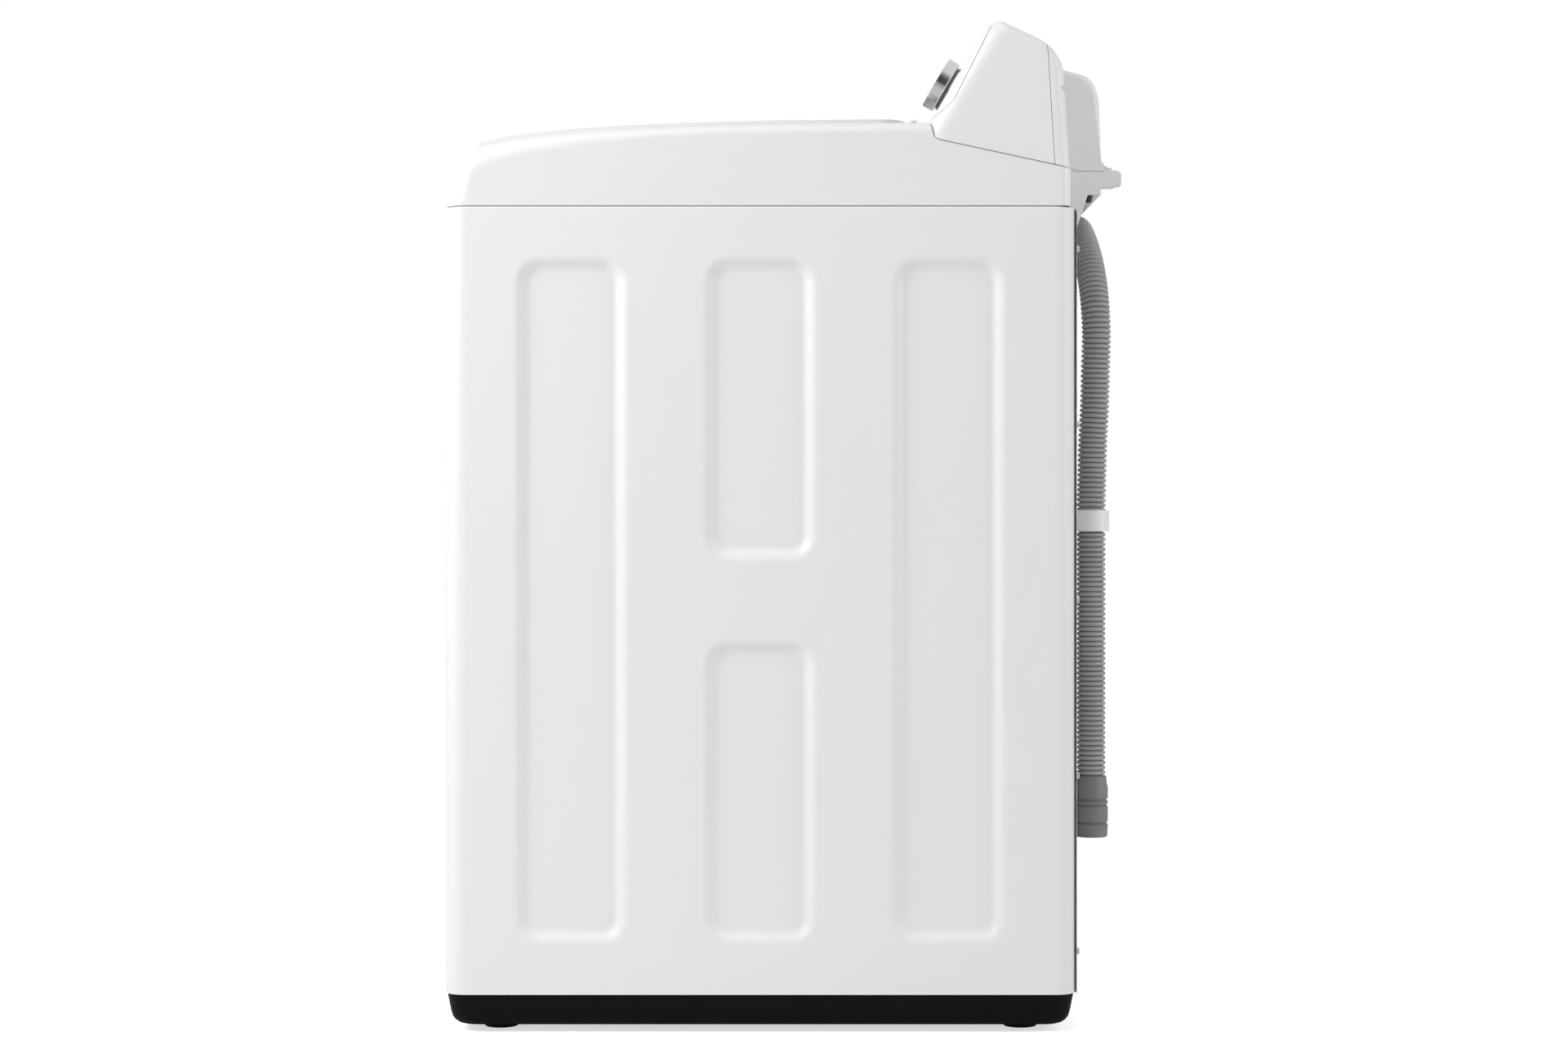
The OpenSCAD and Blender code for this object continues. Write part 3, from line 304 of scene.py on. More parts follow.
def tube_along(path, radii, sides):
    """A closed tube whose rings stay square to the path and do not twist."""
    tube = bmesh.new()
    heading = (path[1] - path[0]).normalized()
    side = heading.orthogonal().normalized()
    rings = []
    for i, (centre, radius) in enumerate(zip(path, radii)):
        ahead = (path[min(i + 1, len(path) - 1)] - path[max(i - 1, 0)]).normalized()
        side = heading.rotation_difference(ahead) @ side
        side = (side - ahead * side.dot(ahead)).normalized()
        heading = ahead
        up = ahead.cross(side)
        rings.append([tube.verts.new(centre + radius * (math.cos(a) * side + math.sin(a) * up))
                      for a in (2 * math.pi * k / sides for k in range(sides))])
    for low, high in zip(rings, rings[1:]):
        for k in range(sides):
            j = (k + 1) % sides
            tube.faces.new((low[k], low[j], high[j], high[k]))
    tube.faces.new(list(reversed(rings[0])))
    tube.faces.new(rings[-1])
    return tube


hose_path, hose_length = smooth_route(hose_route, ring_pitch / rings_each)
hose_radii = []
for i in range(len(hose_path)):
    swell = abs(math.sin(math.pi * i / rings_each)) ** 0.55
    hose_radii.append(hose_valley + (hose_crest - hose_valley) * swell)
grey_hose = stuff("grey_hose", (0.33, 0.33, 0.335), 0.42, variation=0.25, scale=30, spread=0.15,
                  grain=(900, 0.02))
drain_hose = finished(tube_along(hose_path, hose_radii, hose_sides), "corrugated_hose", grey_hose,
                      node_name="drain_hose", crease=60)


# ---- Hose cuff, clip and clamp -------------------------------------------------------------------
# The cuff is a moulded rubber end pressed on the hose, with grip rings. A white nylon ring holds the
# hose to the rear panel half way down, and a sprung steel band grips it on the outlet's spigot.

def shift(bm, vector):
    """Moves a whole mesh."""
    bmesh.ops.translate(bm, verts=bm.verts, vec=vector)
    return bm


def lathe(profile, centre, axis="Z", sides=64):
    """Spins a closed profile of (radius, height) points into a solid of turning."""
    turned = bmesh.new()
    corners = [turned.verts.new((r, 0, h)) for r, h in profile]
    loop = [turned.edges.new((a, b)) for a, b in zip(corners, corners[1:])]
    if profile[0][0] > 1e-6 and profile[-1][0] > 1e-6:
        loop.append(turned.edges.new((corners[-1], corners[0])))
    bmesh.ops.spin(turned, geom=corners + loop, cent=(0, 0, 0), axis=(0, 0, 1), angle=2 * math.pi,
                   steps=sides, use_merge=True)
    bmesh.ops.remove_doubles(turned, verts=turned.verts, dist=1e-6)
    bmesh.ops.recalc_face_normals(turned, faces=turned.faces)
    if axis != "Z":
        lay = Matrix.Rotation(math.pi / 2, 3, "Y") if axis == "X" else Matrix.Rotation(-math.pi / 2, 3, "X")
        bmesh.ops.rotate(turned, verts=turned.verts, matrix=lay)
    return shift(turned, centre)


dark_plastic = stuff("dark_plastic", (0.075, 0.075, 0.08), 0.5, variation=0.2, scale=25, grain=(1400, 0.03))
cuff_low, cuff_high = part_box("drain_hose_cuff")
cuff_r = (cuff_high[0] - cuff_low[0]) / 2
cuff_mid = (cuff_low[0] + cuff_high[0]) / 2, (cuff_low[1] + cuff_high[1]) / 2
cuff_h = cuff_high[2] - cuff_low[2]
cuff_wall, groove_depth = 0.005, 0.0016
hose_socket = hose_valley + 0.0002
cuff_line = [(cuff_r - cuff_wall, 0), (cuff_r - 0.0018, 0), (cuff_r - 0.0006, 0.0012)]
for groove in (0.016, 0.036, 0.042):
    cuff_line += [(cuff_r, groove - 0.0016), (cuff_r - groove_depth, groove - 0.0006),
                  (cuff_r - groove_depth, groove + 0.0006), (cuff_r, groove + 0.0016)]
cuff_line += [(cuff_r, cuff_h - 0.012), (cuff_r - 0.0012, cuff_h - 0.009), (cuff_r - 0.0016, cuff_h - 0.002),
              (cuff_r - 0.0024, cuff_h - 0.0002), (hose_socket, cuff_h - 0.0002),
              (hose_socket, cuff_h - 0.016), (cuff_r - cuff_wall, cuff_h - 0.02)]
cuff_grey = stuff("cuff_grey", (0.185, 0.185, 0.19), 0.5, variation=0.15, scale=25, grain=(1400, 0.03))
cuff = finished(lathe(cuff_line, (*cuff_mid, cuff_low[2])), "hose_cuff", cuff_grey,
                node_name="drain_hose_cuff")


# ---- Cabinet wrap --------------------------------------------------------------------------------
# One sheet of steel for the front and both sides, folded round the upright corners and enamelled
# white. Four stiffening panels are pressed into each side, and the top edge is turned in.

cab_half_w = cabinet_high[0]
cab_front, cab_rear = cabinet_low[1], cabinet_high[1]
cab_mid = (cab_front + cab_rear) / 2
corner_r = 0.024
wrap_low, wrap_high = cabinet_low[2], cabinet_high[2]
turn_in = 0.0022
rear_flange = 0.0024
top_flange = 0.004


def rounded_outline(bm, corners, radius, steps=10):
    """Draws a closed rounded rectangle through four corners given in order, and returns its vertices."""
    line = []
    for k in range(4):
        corner = Vector(corners[k])
        back = (Vector(corners[k - 1]) - corner).normalized()
        on = (Vector(corners[(k + 1) % 4]) - corner).normalized()
        centre = corner + radius * (back + on)
        for i in range(steps + 1):
            a = math.pi / 2 * i / steps
            line.append(bm.verts.new(centre - radius * (math.cos(a) * on + math.sin(a) * back)))
    return line


def ring_of(bm, line):
    """Joins a line of vertices into a closed ring of edges."""
    return [bm.edges.new((line[k - 1], line[k])) for k in range(len(line))]


def press_in(bm, face, width, depth, steps=9):
    """Presses a face inwards: its rim slopes down in an S over the width, to the depth."""
    done = 0.0
    for i in range(steps + 1):
        share = i / steps
        fall = depth * share * share * share * (share * (6 * share - 15) + 10)
        run = 0.0006 if i == 0 else width / steps
        bmesh.ops.inset_region(bm, faces=[face], thickness=run, depth=-(fall - done), use_even_offset=True)
        done = fall


wrap = bmesh.new()
flat_edge = 0.0006
side_front, side_rear = cab_front + corner_r + flat_edge, cab_rear - corner_r - flat_edge
side_top = wrap_high - turn_in - flat_edge
edges = ring_of(wrap, [wrap.verts.new((cab_half_w, y, z)) for y, z in (
    (side_front, wrap_low), (side_rear, wrap_low), (side_rear, side_top), (side_front, side_top))])
press_r, press_half, press_slope, press_depth = 0.031, 0.0645, 0.0205, 0.0068
press_pitch, press_margin, press_gap = 0.206, 0.052, 0.04
press_low, press_high = wrap_low + press_margin, wrap_high - press_margin
press_mid = (press_low + press_high) / 2
press_loops = []
for y, low, high in ((cab_mid - press_pitch, press_low, press_high),
                     (cab_mid, press_low, press_mid - press_gap),
                     (cab_mid, press_mid + press_gap, press_high),
                     (cab_mid + press_pitch, press_low, press_high)):
    loop = rounded_outline(wrap, [(cab_half_w, y - press_half, low), (cab_half_w, y + press_half, low),
                                  (cab_half_w, y + press_half, high), (cab_half_w, y - press_half, high)],
                           press_r)
    edges += ring_of(wrap, loop)
    press_loops.append(loop)
bmesh.ops.triangle_fill(wrap, use_beauty=True, use_dissolve=False, edges=edges, normal=(1, 0, 0))
for loop in press_loops:
    pan = wrap.faces.new(loop)
    pan.normal_update()
    if pan.normal.x < 0:
        pan.normal_flip()
    press_in(wrap, pan, press_slope, press_depth)


def rim_edges(bm, test):
    """The open edges whose ends both pass a test."""
    return [e for e in bm.edges if e.is_boundary and all(test(v.co) for v in e.verts)]


def pull(bm, edges, vector):
    """Draws an edge out into a strip."""
    new = bmesh.ops.extrude_edge_only(bm, edges=edges)["geom"]
    bmesh.ops.translate(bm, verts=[g for g in new if isinstance(g, bmesh.types.BMVert)], vec=vector)
    return [g for g in new if isinstance(g, bmesh.types.BMEdge)]


pull(wrap, rim_edges(wrap, lambda c: c.z > wrap_high - turn_in - 0.001), (0, 0, flat_edge))
for way, edge_y in ((-1, cab_front + corner_r), (1, cab_rear - corner_r)):
    strip = pull(wrap, rim_edges(wrap, lambda c: abs(c.y - edge_y) < 0.001), (0, flat_edge * way, 0))
    strip = [e for e in strip if all(abs(v.co.y - edge_y) < 1e-5 for v in e.verts)]
    verts = list({v for e in strip for v in e.verts})
    turned = bmesh.ops.spin(wrap, geom=verts + strip, cent=(cab_half_w - corner_r, edge_y, 0), axis=(0, 0, 1),
                            angle=way * math.pi / 2, steps=12, use_duplicate=False)["geom_last"]
    last = [g for g in turned if isinstance(g, bmesh.types.BMEdge)]
    last = pull(wrap, last, (-flat_edge, 0, 0))
    fold_x = cab_half_w - corner_r - flat_edge
    last = [e for e in last if all(abs(v.co.x - fold_x) < 1e-5 for v in e.verts)]
    pull(wrap, last, (-fold_x if way < 0 else -rear_flange, 0, 0))
bmesh.ops.remove_doubles(wrap, verts=wrap.verts, dist=1e-6)
top_rim = rim_edges(wrap, lambda c: c.z > wrap_high - turn_in - 1e-4)
bends = 5
for i in range(bends):
    a0, a1 = math.pi / 2 * i / bends, math.pi / 2 * (i + 1) / bends
    top_rim = pull(wrap, top_rim, (0, 0, turn_in * (math.sin(a1) - math.sin(a0))))
    top_rim = [e for e in top_rim if all(v.co.z > wrap_high - turn_in + turn_in * math.sin(a1) - 1e-5
                                         for v in e.verts)]
    shrink = turn_in * (math.cos(a0) - math.cos(a1))
    for v in {v for e in top_rim for v in e.verts}:
        v.co.x -= shrink * (v.co.x / cab_half_w if v.co.x > cab_half_w - corner_r else 0)
        v.co.y -= shrink * (v.co.y - cab_mid) / (cab_rear - cab_mid)
for dip in (0, -0.0002):
    top_rim = pull(wrap, top_rim, (0, 0, dip))
    top_rim = [e for e in top_rim if e.is_boundary]
    for v in {v for e in top_rim for v in e.verts}:
        if v.co.x > 0.2:
            v.co.x -= top_flange
        if abs(v.co.y - cab_mid) > 0.3:
            v.co.y -= math.copysign(top_flange, v.co.y - cab_mid)
bmesh.ops.mirror(wrap, geom=wrap.verts[:] + wrap.edges[:] + wrap.faces[:], matrix=Matrix.Identity(4),
                 merge_dist=1e-5, axis="X")


def turn_out(bm):
    """Turns an open shell's faces outwards, judged by its farthest face to the right."""
    bmesh.ops.recalc_face_normals(bm, faces=bm.faces)
    if max(bm.faces, key=lambda f: f.calc_center_median().x).normal.x < 0:
        bmesh.ops.reverse_faces(bm, faces=bm.faces)
    return bm


def sheet_wall(piece, thickness):
    """Gives an open sheet its wall, grown inwards."""
    wall = piece.modifiers.new("wall", "SOLIDIFY")
    wall.thickness = thickness
    wall.offset = -1
    return piece


def even_light(piece):
    """Weights a piece's normals by face area, so that flat faces stay flat beside small rounded edges."""
    level = piece.modifiers.new("even_normals", "WEIGHTED_NORMAL")
    level.keep_sharp = True
    level.weight = 80
    return piece


white_enamel = stuff("white_enamel", (0.80, 0.80, 0.81), 0.36, variation=0.02, scale=5, spread=0.06,
                     specular=0.4, grain=(420, 0.012))
even_light(sheet_wall(finished(turn_out(wrap), "cabinet_sheet", white_enamel, node_name="cabinet_wrap",
                               crease=50), 0.001))


# ---- Top cover -----------------------------------------------------------------------------------
# Injection moulded white cover that clips over the cabinet. Its deck bows down to the front, its
# shoulders are rounded, and a mouth with a deep flange opens over the basket.

def curve(a, b, c, d, steps):
    """Points on a cubic curve with two ends and two handles."""
    return [tuple(((1 - t) ** 3 * p + 3 * (1 - t) ** 2 * t * q + 3 * (1 - t) * t * t * r + t ** 3 * s)
                  for p, q, r, s in zip(a, b, c, d)) for t in (i / steps for i in range(steps + 1))]


def millimetres(points):
    """Side profile points from millimetres in the cabinet's frame to metres in the machine's."""
    return [(y / 1000 + cab_mid, z / 1000) for y, z in points]


def drawn_out(bm, line, vector):
    """Closes a line of vertices with a face and draws it out into a solid."""
    grown = bmesh.ops.extrude_face_region(bm, geom=[bm.faces.new(line)])["geom"]
    bmesh.ops.translate(bm, verts=[g for g in grown if isinstance(g, bmesh.types.BMVert)], vec=vector)
    bmesh.ops.recalc_face_normals(bm, faces=bm.faces)
    return bm


def across(points, left, right):
    """A prism: a side profile of (y, z) points drawn across the machine from left to right."""
    bm = bmesh.new()
    return drawn_out(bm, [bm.verts.new((left, y, z)) for y, z in points], (right - left, 0, 0))


def plan_ring(bm, low, high, z, radius, steps=10):
    """A level rounded outline from corner low to corner high in (x, y)."""
    return rounded_outline(bm, [(low[0], low[1], z), (high[0], low[1], z), (high[0], high[1], z),
                                (low[0], high[1], z)], radius, steps)


def plan_block(low, high, radius, bottom, top, steps=12):
    """An upright block whose plan, from corner low to corner high in (x, y), has rounded corners."""
    bm = bmesh.new()
    return drawn_out(bm, plan_ring(bm, low, high, bottom, radius, steps), (0, 0, top - bottom))


def worked(bm, rounding=None, segments=6, cuts=()):
    """Rounds a solid's weighted edges, then joins, cuts or keeps it by other solids. Returns a new bmesh."""
    helpers = []

    def lay_out(each):
        made = bpy.data.meshes.new("work")
        each.to_mesh(made)
        each.free()
        thing = bpy.data.objects.new("work", made)
        bpy.context.collection.objects.link(thing)
        helpers.append(thing)
        return thing

    base = lay_out(bm)
    if rounding:
        bevel = base.modifiers.new("rounding", "BEVEL")
        bevel.width = rounding
        bevel.segments = segments
        bevel.limit_method = "WEIGHT"
        bevel.use_clamp_overlap = False
    for operation, tool in cuts:
        step = base.modifiers.new("cut", "BOOLEAN")
        step.operation = operation
        step.solver = "EXACT"
        step.object = lay_out(tool)
    bpy.context.view_layer.update()
    done = base.evaluated_get(bpy.context.evaluated_depsgraph_get())
    result = bmesh.new()
    result.from_mesh(done.to_mesh())
    done.to_mesh_clear()
    for thing in helpers:
        mesh = thing.data
        bpy.data.objects.remove(thing)
        bpy.data.meshes.remove(mesh)
    bmesh.ops.remove_doubles(result, verts=result.verts, dist=1e-6)
    return result


def weigh(bm, amount):
    """Gives each edge its share of the widest rounding; amount takes an edge's ends."""
    layer = bm.edges.layers.float.new("bevel_weight_edge")
    for edge in bm.edges:
        edge[layer] = amount(edge.verts[0].co, edge.verts[1].co)
    return bm


def sharp(edge):
    return edge.calc_face_angle(0) > math.radians(50)


def on_lip(bm, test, offset, segments=3):
    """Rounds the edges of a mesh that pass a test."""
    chosen = [e for e in bm.edges if len(e.link_faces) == 2 and test(e)]
    bmesh.ops.bevel(bm, geom=chosen, offset=offset, offset_type="OFFSET", segments=segments,
                    profile=0.5, affect="EDGES", material=-1, clamp_overlap=True)


cover_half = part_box("top_cover")[1][0]
cover_nose = (-288, 974.5)
cover_hem = 903.9
hem_top = cover_hem / 1000 + 0.0006
cover_line = curve((-344.5, cover_hem), (-335, 962.5), (-332, 964.5), cover_nose, 14) \
    + curve(cover_nose, (-246, 984.5), (-107.5, 995.5), (184.5, 995.5), 16)[1:]
cover_outline = millimetres(cover_line + [(189.6, 978.9), (194.5, 975.7), (339.5, 944.3), (339.5, cover_hem)])
deck_end_y = 0.1845 + cab_mid
cover_back_y = 0.3395 + cab_mid
front_round, deck_round, back_round = 0.024, 0.013, 0.012
cover_wall, above_all = 0.0022, 1.1


def shoulder(a, b):
    if abs(a.x - b.x) > 1e-6:
        return 0.0
    if min(a.y, b.y) > cover_back_y - 1e-4:
        return back_round / front_round
    if max(a.y, b.y) > deck_end_y + 1e-4 or max(a.z, b.z) < hem_top or abs(a.y - b.y) < 1e-6:
        return 0.0
    share = min(max(((a.y + b.y) / 2 - cab_mid + 0.345) / 0.24, 0), 1)
    return 1.0 + share * share * (3 - 2 * share) * (deck_round / front_round - 1)


mouth_half_w, mouth_low_y, mouth_high_y = 0.220, -0.0605 - 0.201 + cab_mid, -0.0605 + 0.201 + cab_mid
bolt_x, bolt_y, bolt_half_w, bolt_half_d, slot_floor = 0.244, -0.060 + cab_mid, 0.007, 0.018, 0.96
cover = worked(
    weigh(across(cover_outline, -cover_half, cover_half), shoulder), front_round, 8,
    [("DIFFERENCE", plan_block((-mouth_half_w, mouth_low_y), (mouth_half_w, mouth_high_y), 0.09, 0.930,
                               above_all)),
     ("DIFFERENCE", plan_block((bolt_x - bolt_half_w, bolt_y - bolt_half_d),
                               (bolt_x + bolt_half_w, bolt_y + bolt_half_d), 0.002, slot_floor, above_all,
                               3))])


def opened(face):
    """Whether a face is left out: the open underside, the floor of a cut, and the walls of the bolt slot."""
    mid = face.calc_center_median()
    underside = face.normal.z < -0.9 and mid.z < hem_top
    floor_of_cut = (face.normal.z > 0.9 and mid.z < slot_floor + 0.0005 and abs(mid.x) < 0.3
                    and mid.y < mouth_high_y)
    in_slot = abs(mid.x - bolt_x) < bolt_half_w + 0.0015 and abs(mid.y - bolt_y) < bolt_half_d + 0.001
    return underside or floor_of_cut or (in_slot and (abs(face.normal.z) < 0.5 or mid.z < 0.97))


bmesh.ops.delete(cover, geom=[f for f in cover.faces if opened(f)], context="FACES")


def mouth_rim(edge):
    """Whether an edge lies between the deck and the mouth's flange."""
    walls = [abs(f.normal.z) < 0.05 for f in edge.link_faces]
    deck_faces = [f.normal.z > 0.5 for f in edge.link_faces]
    mid = (edge.verts[0].co + edge.verts[1].co) / 2
    return any(walls) and any(deck_faces) and abs(mid.x) < 0.225 and mid.y < mouth_high_y + 0.005


on_lip(cover, mouth_rim, 0.004, 4)
white_cover = stuff("white_cover", (0.80, 0.80, 0.81), 0.3, variation=0.015, scale=6, spread=0.05,
                    specular=0.5, grain=(900, 0.008))
even_light(sheet_wall(finished(cover, "moulded_top_cover", white_cover, node_name="top_cover", crease=40),
                      cover_wall))

# A dark grey band stands just inside the gap between the wrap's top edge and the cover's hem. It is painted
# shade: it darkens the seam in place of the shadow that falls there.
strip_inset, strip_bottom, strip_h = 0.0014, 0.9015, 0.004
seam_strip = bmesh.new()
pull(seam_strip, ring_of(seam_strip, plan_ring(
    seam_strip, (-cover_half + strip_inset, cab_front + 0.002),
    (cover_half - strip_inset, cover_back_y - strip_inset), strip_bottom, 0.022)), (0, 0, strip_h))
seam_shade_grey = stuff("seam_shade_grey", (0.10, 0.10, 0.10), 0.7, variation=0.1, scale=30, specular=0.2,
                   grain=(900, 0.02))
sheet_wall(finished(turn_out(seam_strip), "cover_seam_shade_strip", seam_shade_grey), 0.001)


# ---- Lid -----------------------------------------------------------------------------------------
# A bowed frame moulded in white plastic round a tempered smoked glass, which is bonded into a rebate
# with a black band. Two steel pins at the back corners turn in brackets on the deck.

lid_line = curve((-342, 965.5), (-336, 972.5), (-312, 980.9), (-294, 985.1), 12) \
    + curve((-294, 985.1), (-251, 995.1), (-108, 1006.5), (162, 1006.5), 20)[1:]


def bowed(down_from, down_to):
    """The profile of a bowed layer, between two depths in millimetres below the lid's face."""
    top = [(y, z - down_from) for y, z in lid_line]
    return millimetres(top + [(y, z - down_to) for y, z in reversed(lid_line)])


lid_half = 0.280
below_all = 0.9
lid_front, lid_back = -0.342 + cab_mid, 0.162 + cab_mid
window_half_w, window_half_d, window_y = 0.195, 0.167, -0.090 + cab_mid


def window_plan(grow, radius=0.04):
    return plan_block((-window_half_w - grow, window_y - window_half_d - grow),
                      (window_half_w + grow, window_y + window_half_d + grow), radius + grow, below_all,
                      above_all)


lid = worked(across(bowed(0, 9), -lid_half, lid_half), cuts=[
    ("INTERSECT", plan_block((-lid_half, lid_front), (lid_half, lid_back), 0.03, below_all, above_all)),
    ("DIFFERENCE", window_plan(0))])
bmesh.ops.dissolve_limit(lid, angle_limit=math.radians(0.5), verts=lid.verts, edges=lid.edges)
on_lip(lid, sharp, 0.0022, 3)
white_lid = stuff("white_lid", (0.82, 0.82, 0.83), 0.22, variation=0.012, scale=6, spread=0.04, specular=0.55,
                  grain=(900, 0.006))
even_light(finished(lid, "lid_panel", white_lid, "lid", crease=35))

smoked, smoked_nodes, glass_shader = blank("smoked_glass")
glass_shader.inputs["Transmission Weight"].default_value = 0.85
glass_shader.inputs["IOR"].default_value = 1.5
glass_shader.inputs["Metallic"].default_value = 0.0
with_haze(smoked_nodes, glass_shader, (0.10, 0.115, 0.125), 0.06, 6, 0.05, 0.03)
pane = worked(across(bowed(0.6, 4.6), -lid_half, lid_half), cuts=[("INTERSECT", window_plan(-0.0006))])
bmesh.ops.dissolve_limit(pane, angle_limit=math.radians(0.5), verts=pane.verts, edges=pane.edges)
on_lip(pane, sharp, 0.0007, 2)
even_light(finished(pane, "lid_pane", smoked, "lid", node_name="lid_glass", crease=35))

black_plastic = stuff("black_plastic", (0.012, 0.012, 0.013), 0.42, variation=0.2, scale=12, spread=0.1,
                      grain=(1300, 0.02))
band = worked(across(bowed(4.7, 6.6), -lid_half, lid_half), cuts=[
    ("INTERSECT", window_plan(0.008)), ("DIFFERENCE", window_plan(-0.016))])
even_light(finished(band, "lid_glass_band", black_plastic, "lid", crease=35))

hinge_y, hinge_z, ear_r, ear_w = 0.171 + cab_mid, 1.0023, 0.006, 0.014
ear_line = [(hinge_y + ear_r * math.cos(a), hinge_z + ear_r * math.sin(a))
            for a in (math.radians(-140 + 280 * k / 16) for k in range(17))]
ear_line += [(lid_back - 0.004, hinge_z + 0.0032), (lid_back - 0.004, hinge_z - 0.0032)]
ears = [across(ear_line, x, x + ear_w) for x in (-0.250, 0.236)]
strike_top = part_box("lid_lock_bolt")[0][2] + 0.023


def strike_block(line, left, right):
    return across([(bolt_y + along, strike_top - drop) for along, drop in line], left, right)


strike = worked(strike_block([(-0.010, 0), (-0.010, 0.026), (-0.007, 0.029), (0.007, 0.029),
                              (0.010, 0.026), (0.010, 0)], 0.2435, 0.2465),
                cuts=[("DIFFERENCE", strike_block([(-0.005, 0.014), (0.005, 0.014), (0.005, 0.024),
                                                   (-0.005, 0.024)], 0.240, 0.250))])


def joined(parts):
    """Lays several meshes in one piece."""
    whole = bmesh.new()
    for part in parts:
        mesh = bpy.data.meshes.new("work")
        part.to_mesh(mesh)
        part.free()
        whole.from_mesh(mesh)
        bpy.data.meshes.remove(mesh)
    return whole


fittings = joined(ears + [strike])
on_lip(fittings, sharp, 0.0006, 2)
even_light(finished(fittings, "lid_ears_and_strike", white_lid, "lid", node_name="lid_frame"))


# ---- Console -------------------------------------------------------------------------------------
# The console is moulded in three white pieces: the sloping fascia, the body with its rounded end
# cheeks, and the rear cover, which snap together along fine seams and screw down on the cover.

console_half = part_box("console_shell")[1][0]
foot, head, ridge = (187.8, 1000.4), (247.4, 1100.9), (260.8, 1108)
seam_high, rear_bend, rear_bend_low = (313.3, 1083), (325.7, 1069), (331, 1056.4)
rear_foot, rear_seam_foot, heel = (338.2, 945.2), (321.3, 948.9), (194.9, 976.3)
heel_front, lip = (190.5, 979), (185.6, 994.5)
tilt = math.atan2(head[0] - foot[0], head[1] - foot[1])


def panel(up, out):
    """A point in millimetres, so far up the fascia from its foot and so far out of it."""
    return (foot[0] + up * math.sin(tilt) - out * math.cos(tilt),
            foot[1] + up * math.cos(tilt) + out * math.sin(tilt))


def beyond(a, b, reach):
    """A point past b on the line from a."""
    run = (Vector(b) - Vector(a)).normalized() * reach
    return (b[0] + run.x, b[1] + run.y)


console_line = millimetres([beyond(head, foot, 60), head, ridge, seam_high, rear_bend, rear_bend_low,
                            beyond(rear_bend_low, rear_foot, 40)])
cheek_round, top_round, rear_round = 0.022, 0.020, 0.012
ridge_rounds = (0, 0.007, 0.006, 0.008, 0.008, 0.005, 0)


def console_rounding(a, b):
    """The rounding of an edge, by the two corners of the profile that it starts and ends at."""
    low, high = sorted(min(range(7), key=lambda k: (Vector((p.y, p.z)) - Vector(console_line[k])).length)
                       for p in (a, b))
    if low == high:
        return ridge_rounds[low] / cheek_round
    if (low, high) == (0, 6):
        return 0.0
    return (cheek_round, top_round)[low] / cheek_round if low < 2 else rear_round / cheek_round


console_seat = across(millimetres([(100, foot[1]), foot, lip, heel_front, heel, rear_seam_foot, rear_foot,
                                   (400, rear_foot[1]), (400, 1200), (100, 1200)]), -0.36, 0.36)
console_whole = worked(weigh(across(console_line, -console_half, console_half), console_rounding),
                       cheek_round, 9, [("INTERSECT", console_seat)])
wide = console_half + 0.01
seam_gap = 0.55
split_head, split_foot, split_toe = panel(124.2, -3.8), panel(27.9, -10.3), panel(18.2, -7.8)


def front_part(gap):
    """The space before the seam between the fascia and the body."""
    back = [(y + gap, z) for y, z in (beyond(split_foot, split_head, 40), split_head, split_foot, split_toe,
                                        beyond(split_toe, foot, 30))]
    return across(millimetres([(100, 1000), (160, 1200)] + back), -wide, wide)


def rear_part(gap):
    """The space behind the seam between the body and the rear cover."""
    (seam_y, seam_z), (low_y, low_z) = seam_high, rear_seam_foot
    return across(millimetres([(seam_y - 3 - gap, seam_z + 40), (seam_y - gap, seam_z), (low_y - gap, low_z),
                               (low_y + 0.3 - gap, low_z - 8), (380, 930), (380, 1130)]), -wide, wide)


def outline_block(half_w, half_h, radius, deep, proud, steps=8):
    """A rounded block square to the fascia, in the fascia's own axes: right, up and out."""
    return plan_block((-half_w, -half_h), (half_w, half_h), radius, deep, proud, steps)


def on_fascia(bm, x, up):
    """Sets a mesh made in the fascia's axes in its place on the fascia."""
    y, z = panel(up, 0)
    turn = Matrix(((1, 0, 0), (0, math.sin(tilt), -math.cos(tilt)), (0, math.cos(tilt), math.sin(tilt))))
    bmesh.ops.transform(bm, verts=bm.verts, matrix=Matrix.Translation((x, y / 1000 + cab_mid, z / 1000))
                        @ turn.to_4x4())
    return bm


control_up = 54.9
knob_x, start_x, power_x, display_x = 0.213, 0.287, -0.285, 0.020
option_x = (-0.223, -0.171, -0.119)
fascia_cuts = [("INTERSECT", front_part(0))]
for half_w, half_h, radius, deep, steps, x, up in (
        [(0.0113, 0.0113, 0.01129, -0.012, 10, x, control_up) for x in (power_x, start_x)]
        + [(0.0153, 0.0063, 0.0053, -0.012, 8, x, control_up) for x in option_x]
        + [(0.075, 0.022, 0.006, -0.006, 8, display_x, control_up + 4),
           (0.0045, 0.0045, 0.00449, -0.012, 8, knob_x, control_up)]):
    fascia_cuts.append(("DIFFERENCE", on_fascia(outline_block(half_w, half_h, radius, deep, 0.02, steps),
                                                x, up)))
white_plastic = stuff("white_plastic", (0.80, 0.80, 0.81), 0.34, variation=0.015, scale=7, spread=0.05,
                      specular=0.45, grain=(1500, 0.012))
fascia = worked(console_whole.copy(), cuts=fascia_cuts)
even_light(finished(fascia, "fascia_panel", white_plastic, node_name="console_fascia",
                    crease=28))
body_shell = worked(console_whole.copy(), cuts=[("DIFFERENCE", front_part(seam_gap)),
                                                ("DIFFERENCE", rear_part(seam_gap))])
even_light(finished(body_shell, "console_body", white_plastic,
                    node_name=["console_shell", "control_board"], crease=28))
notch_line = millimetres([(327.5, 1033), (345, 1047), (345, 1016)])
notch = [("DIFFERENCE", across(notch_line, way * 0.328, way * 0.36)) for way in (-1, 1)]
back_shell = worked(console_whole, cuts=[("INTERSECT", rear_part(0))] + notch)
even_light(finished(back_shell, "console_back", white_plastic, node_name="console_rear_cover", crease=28))


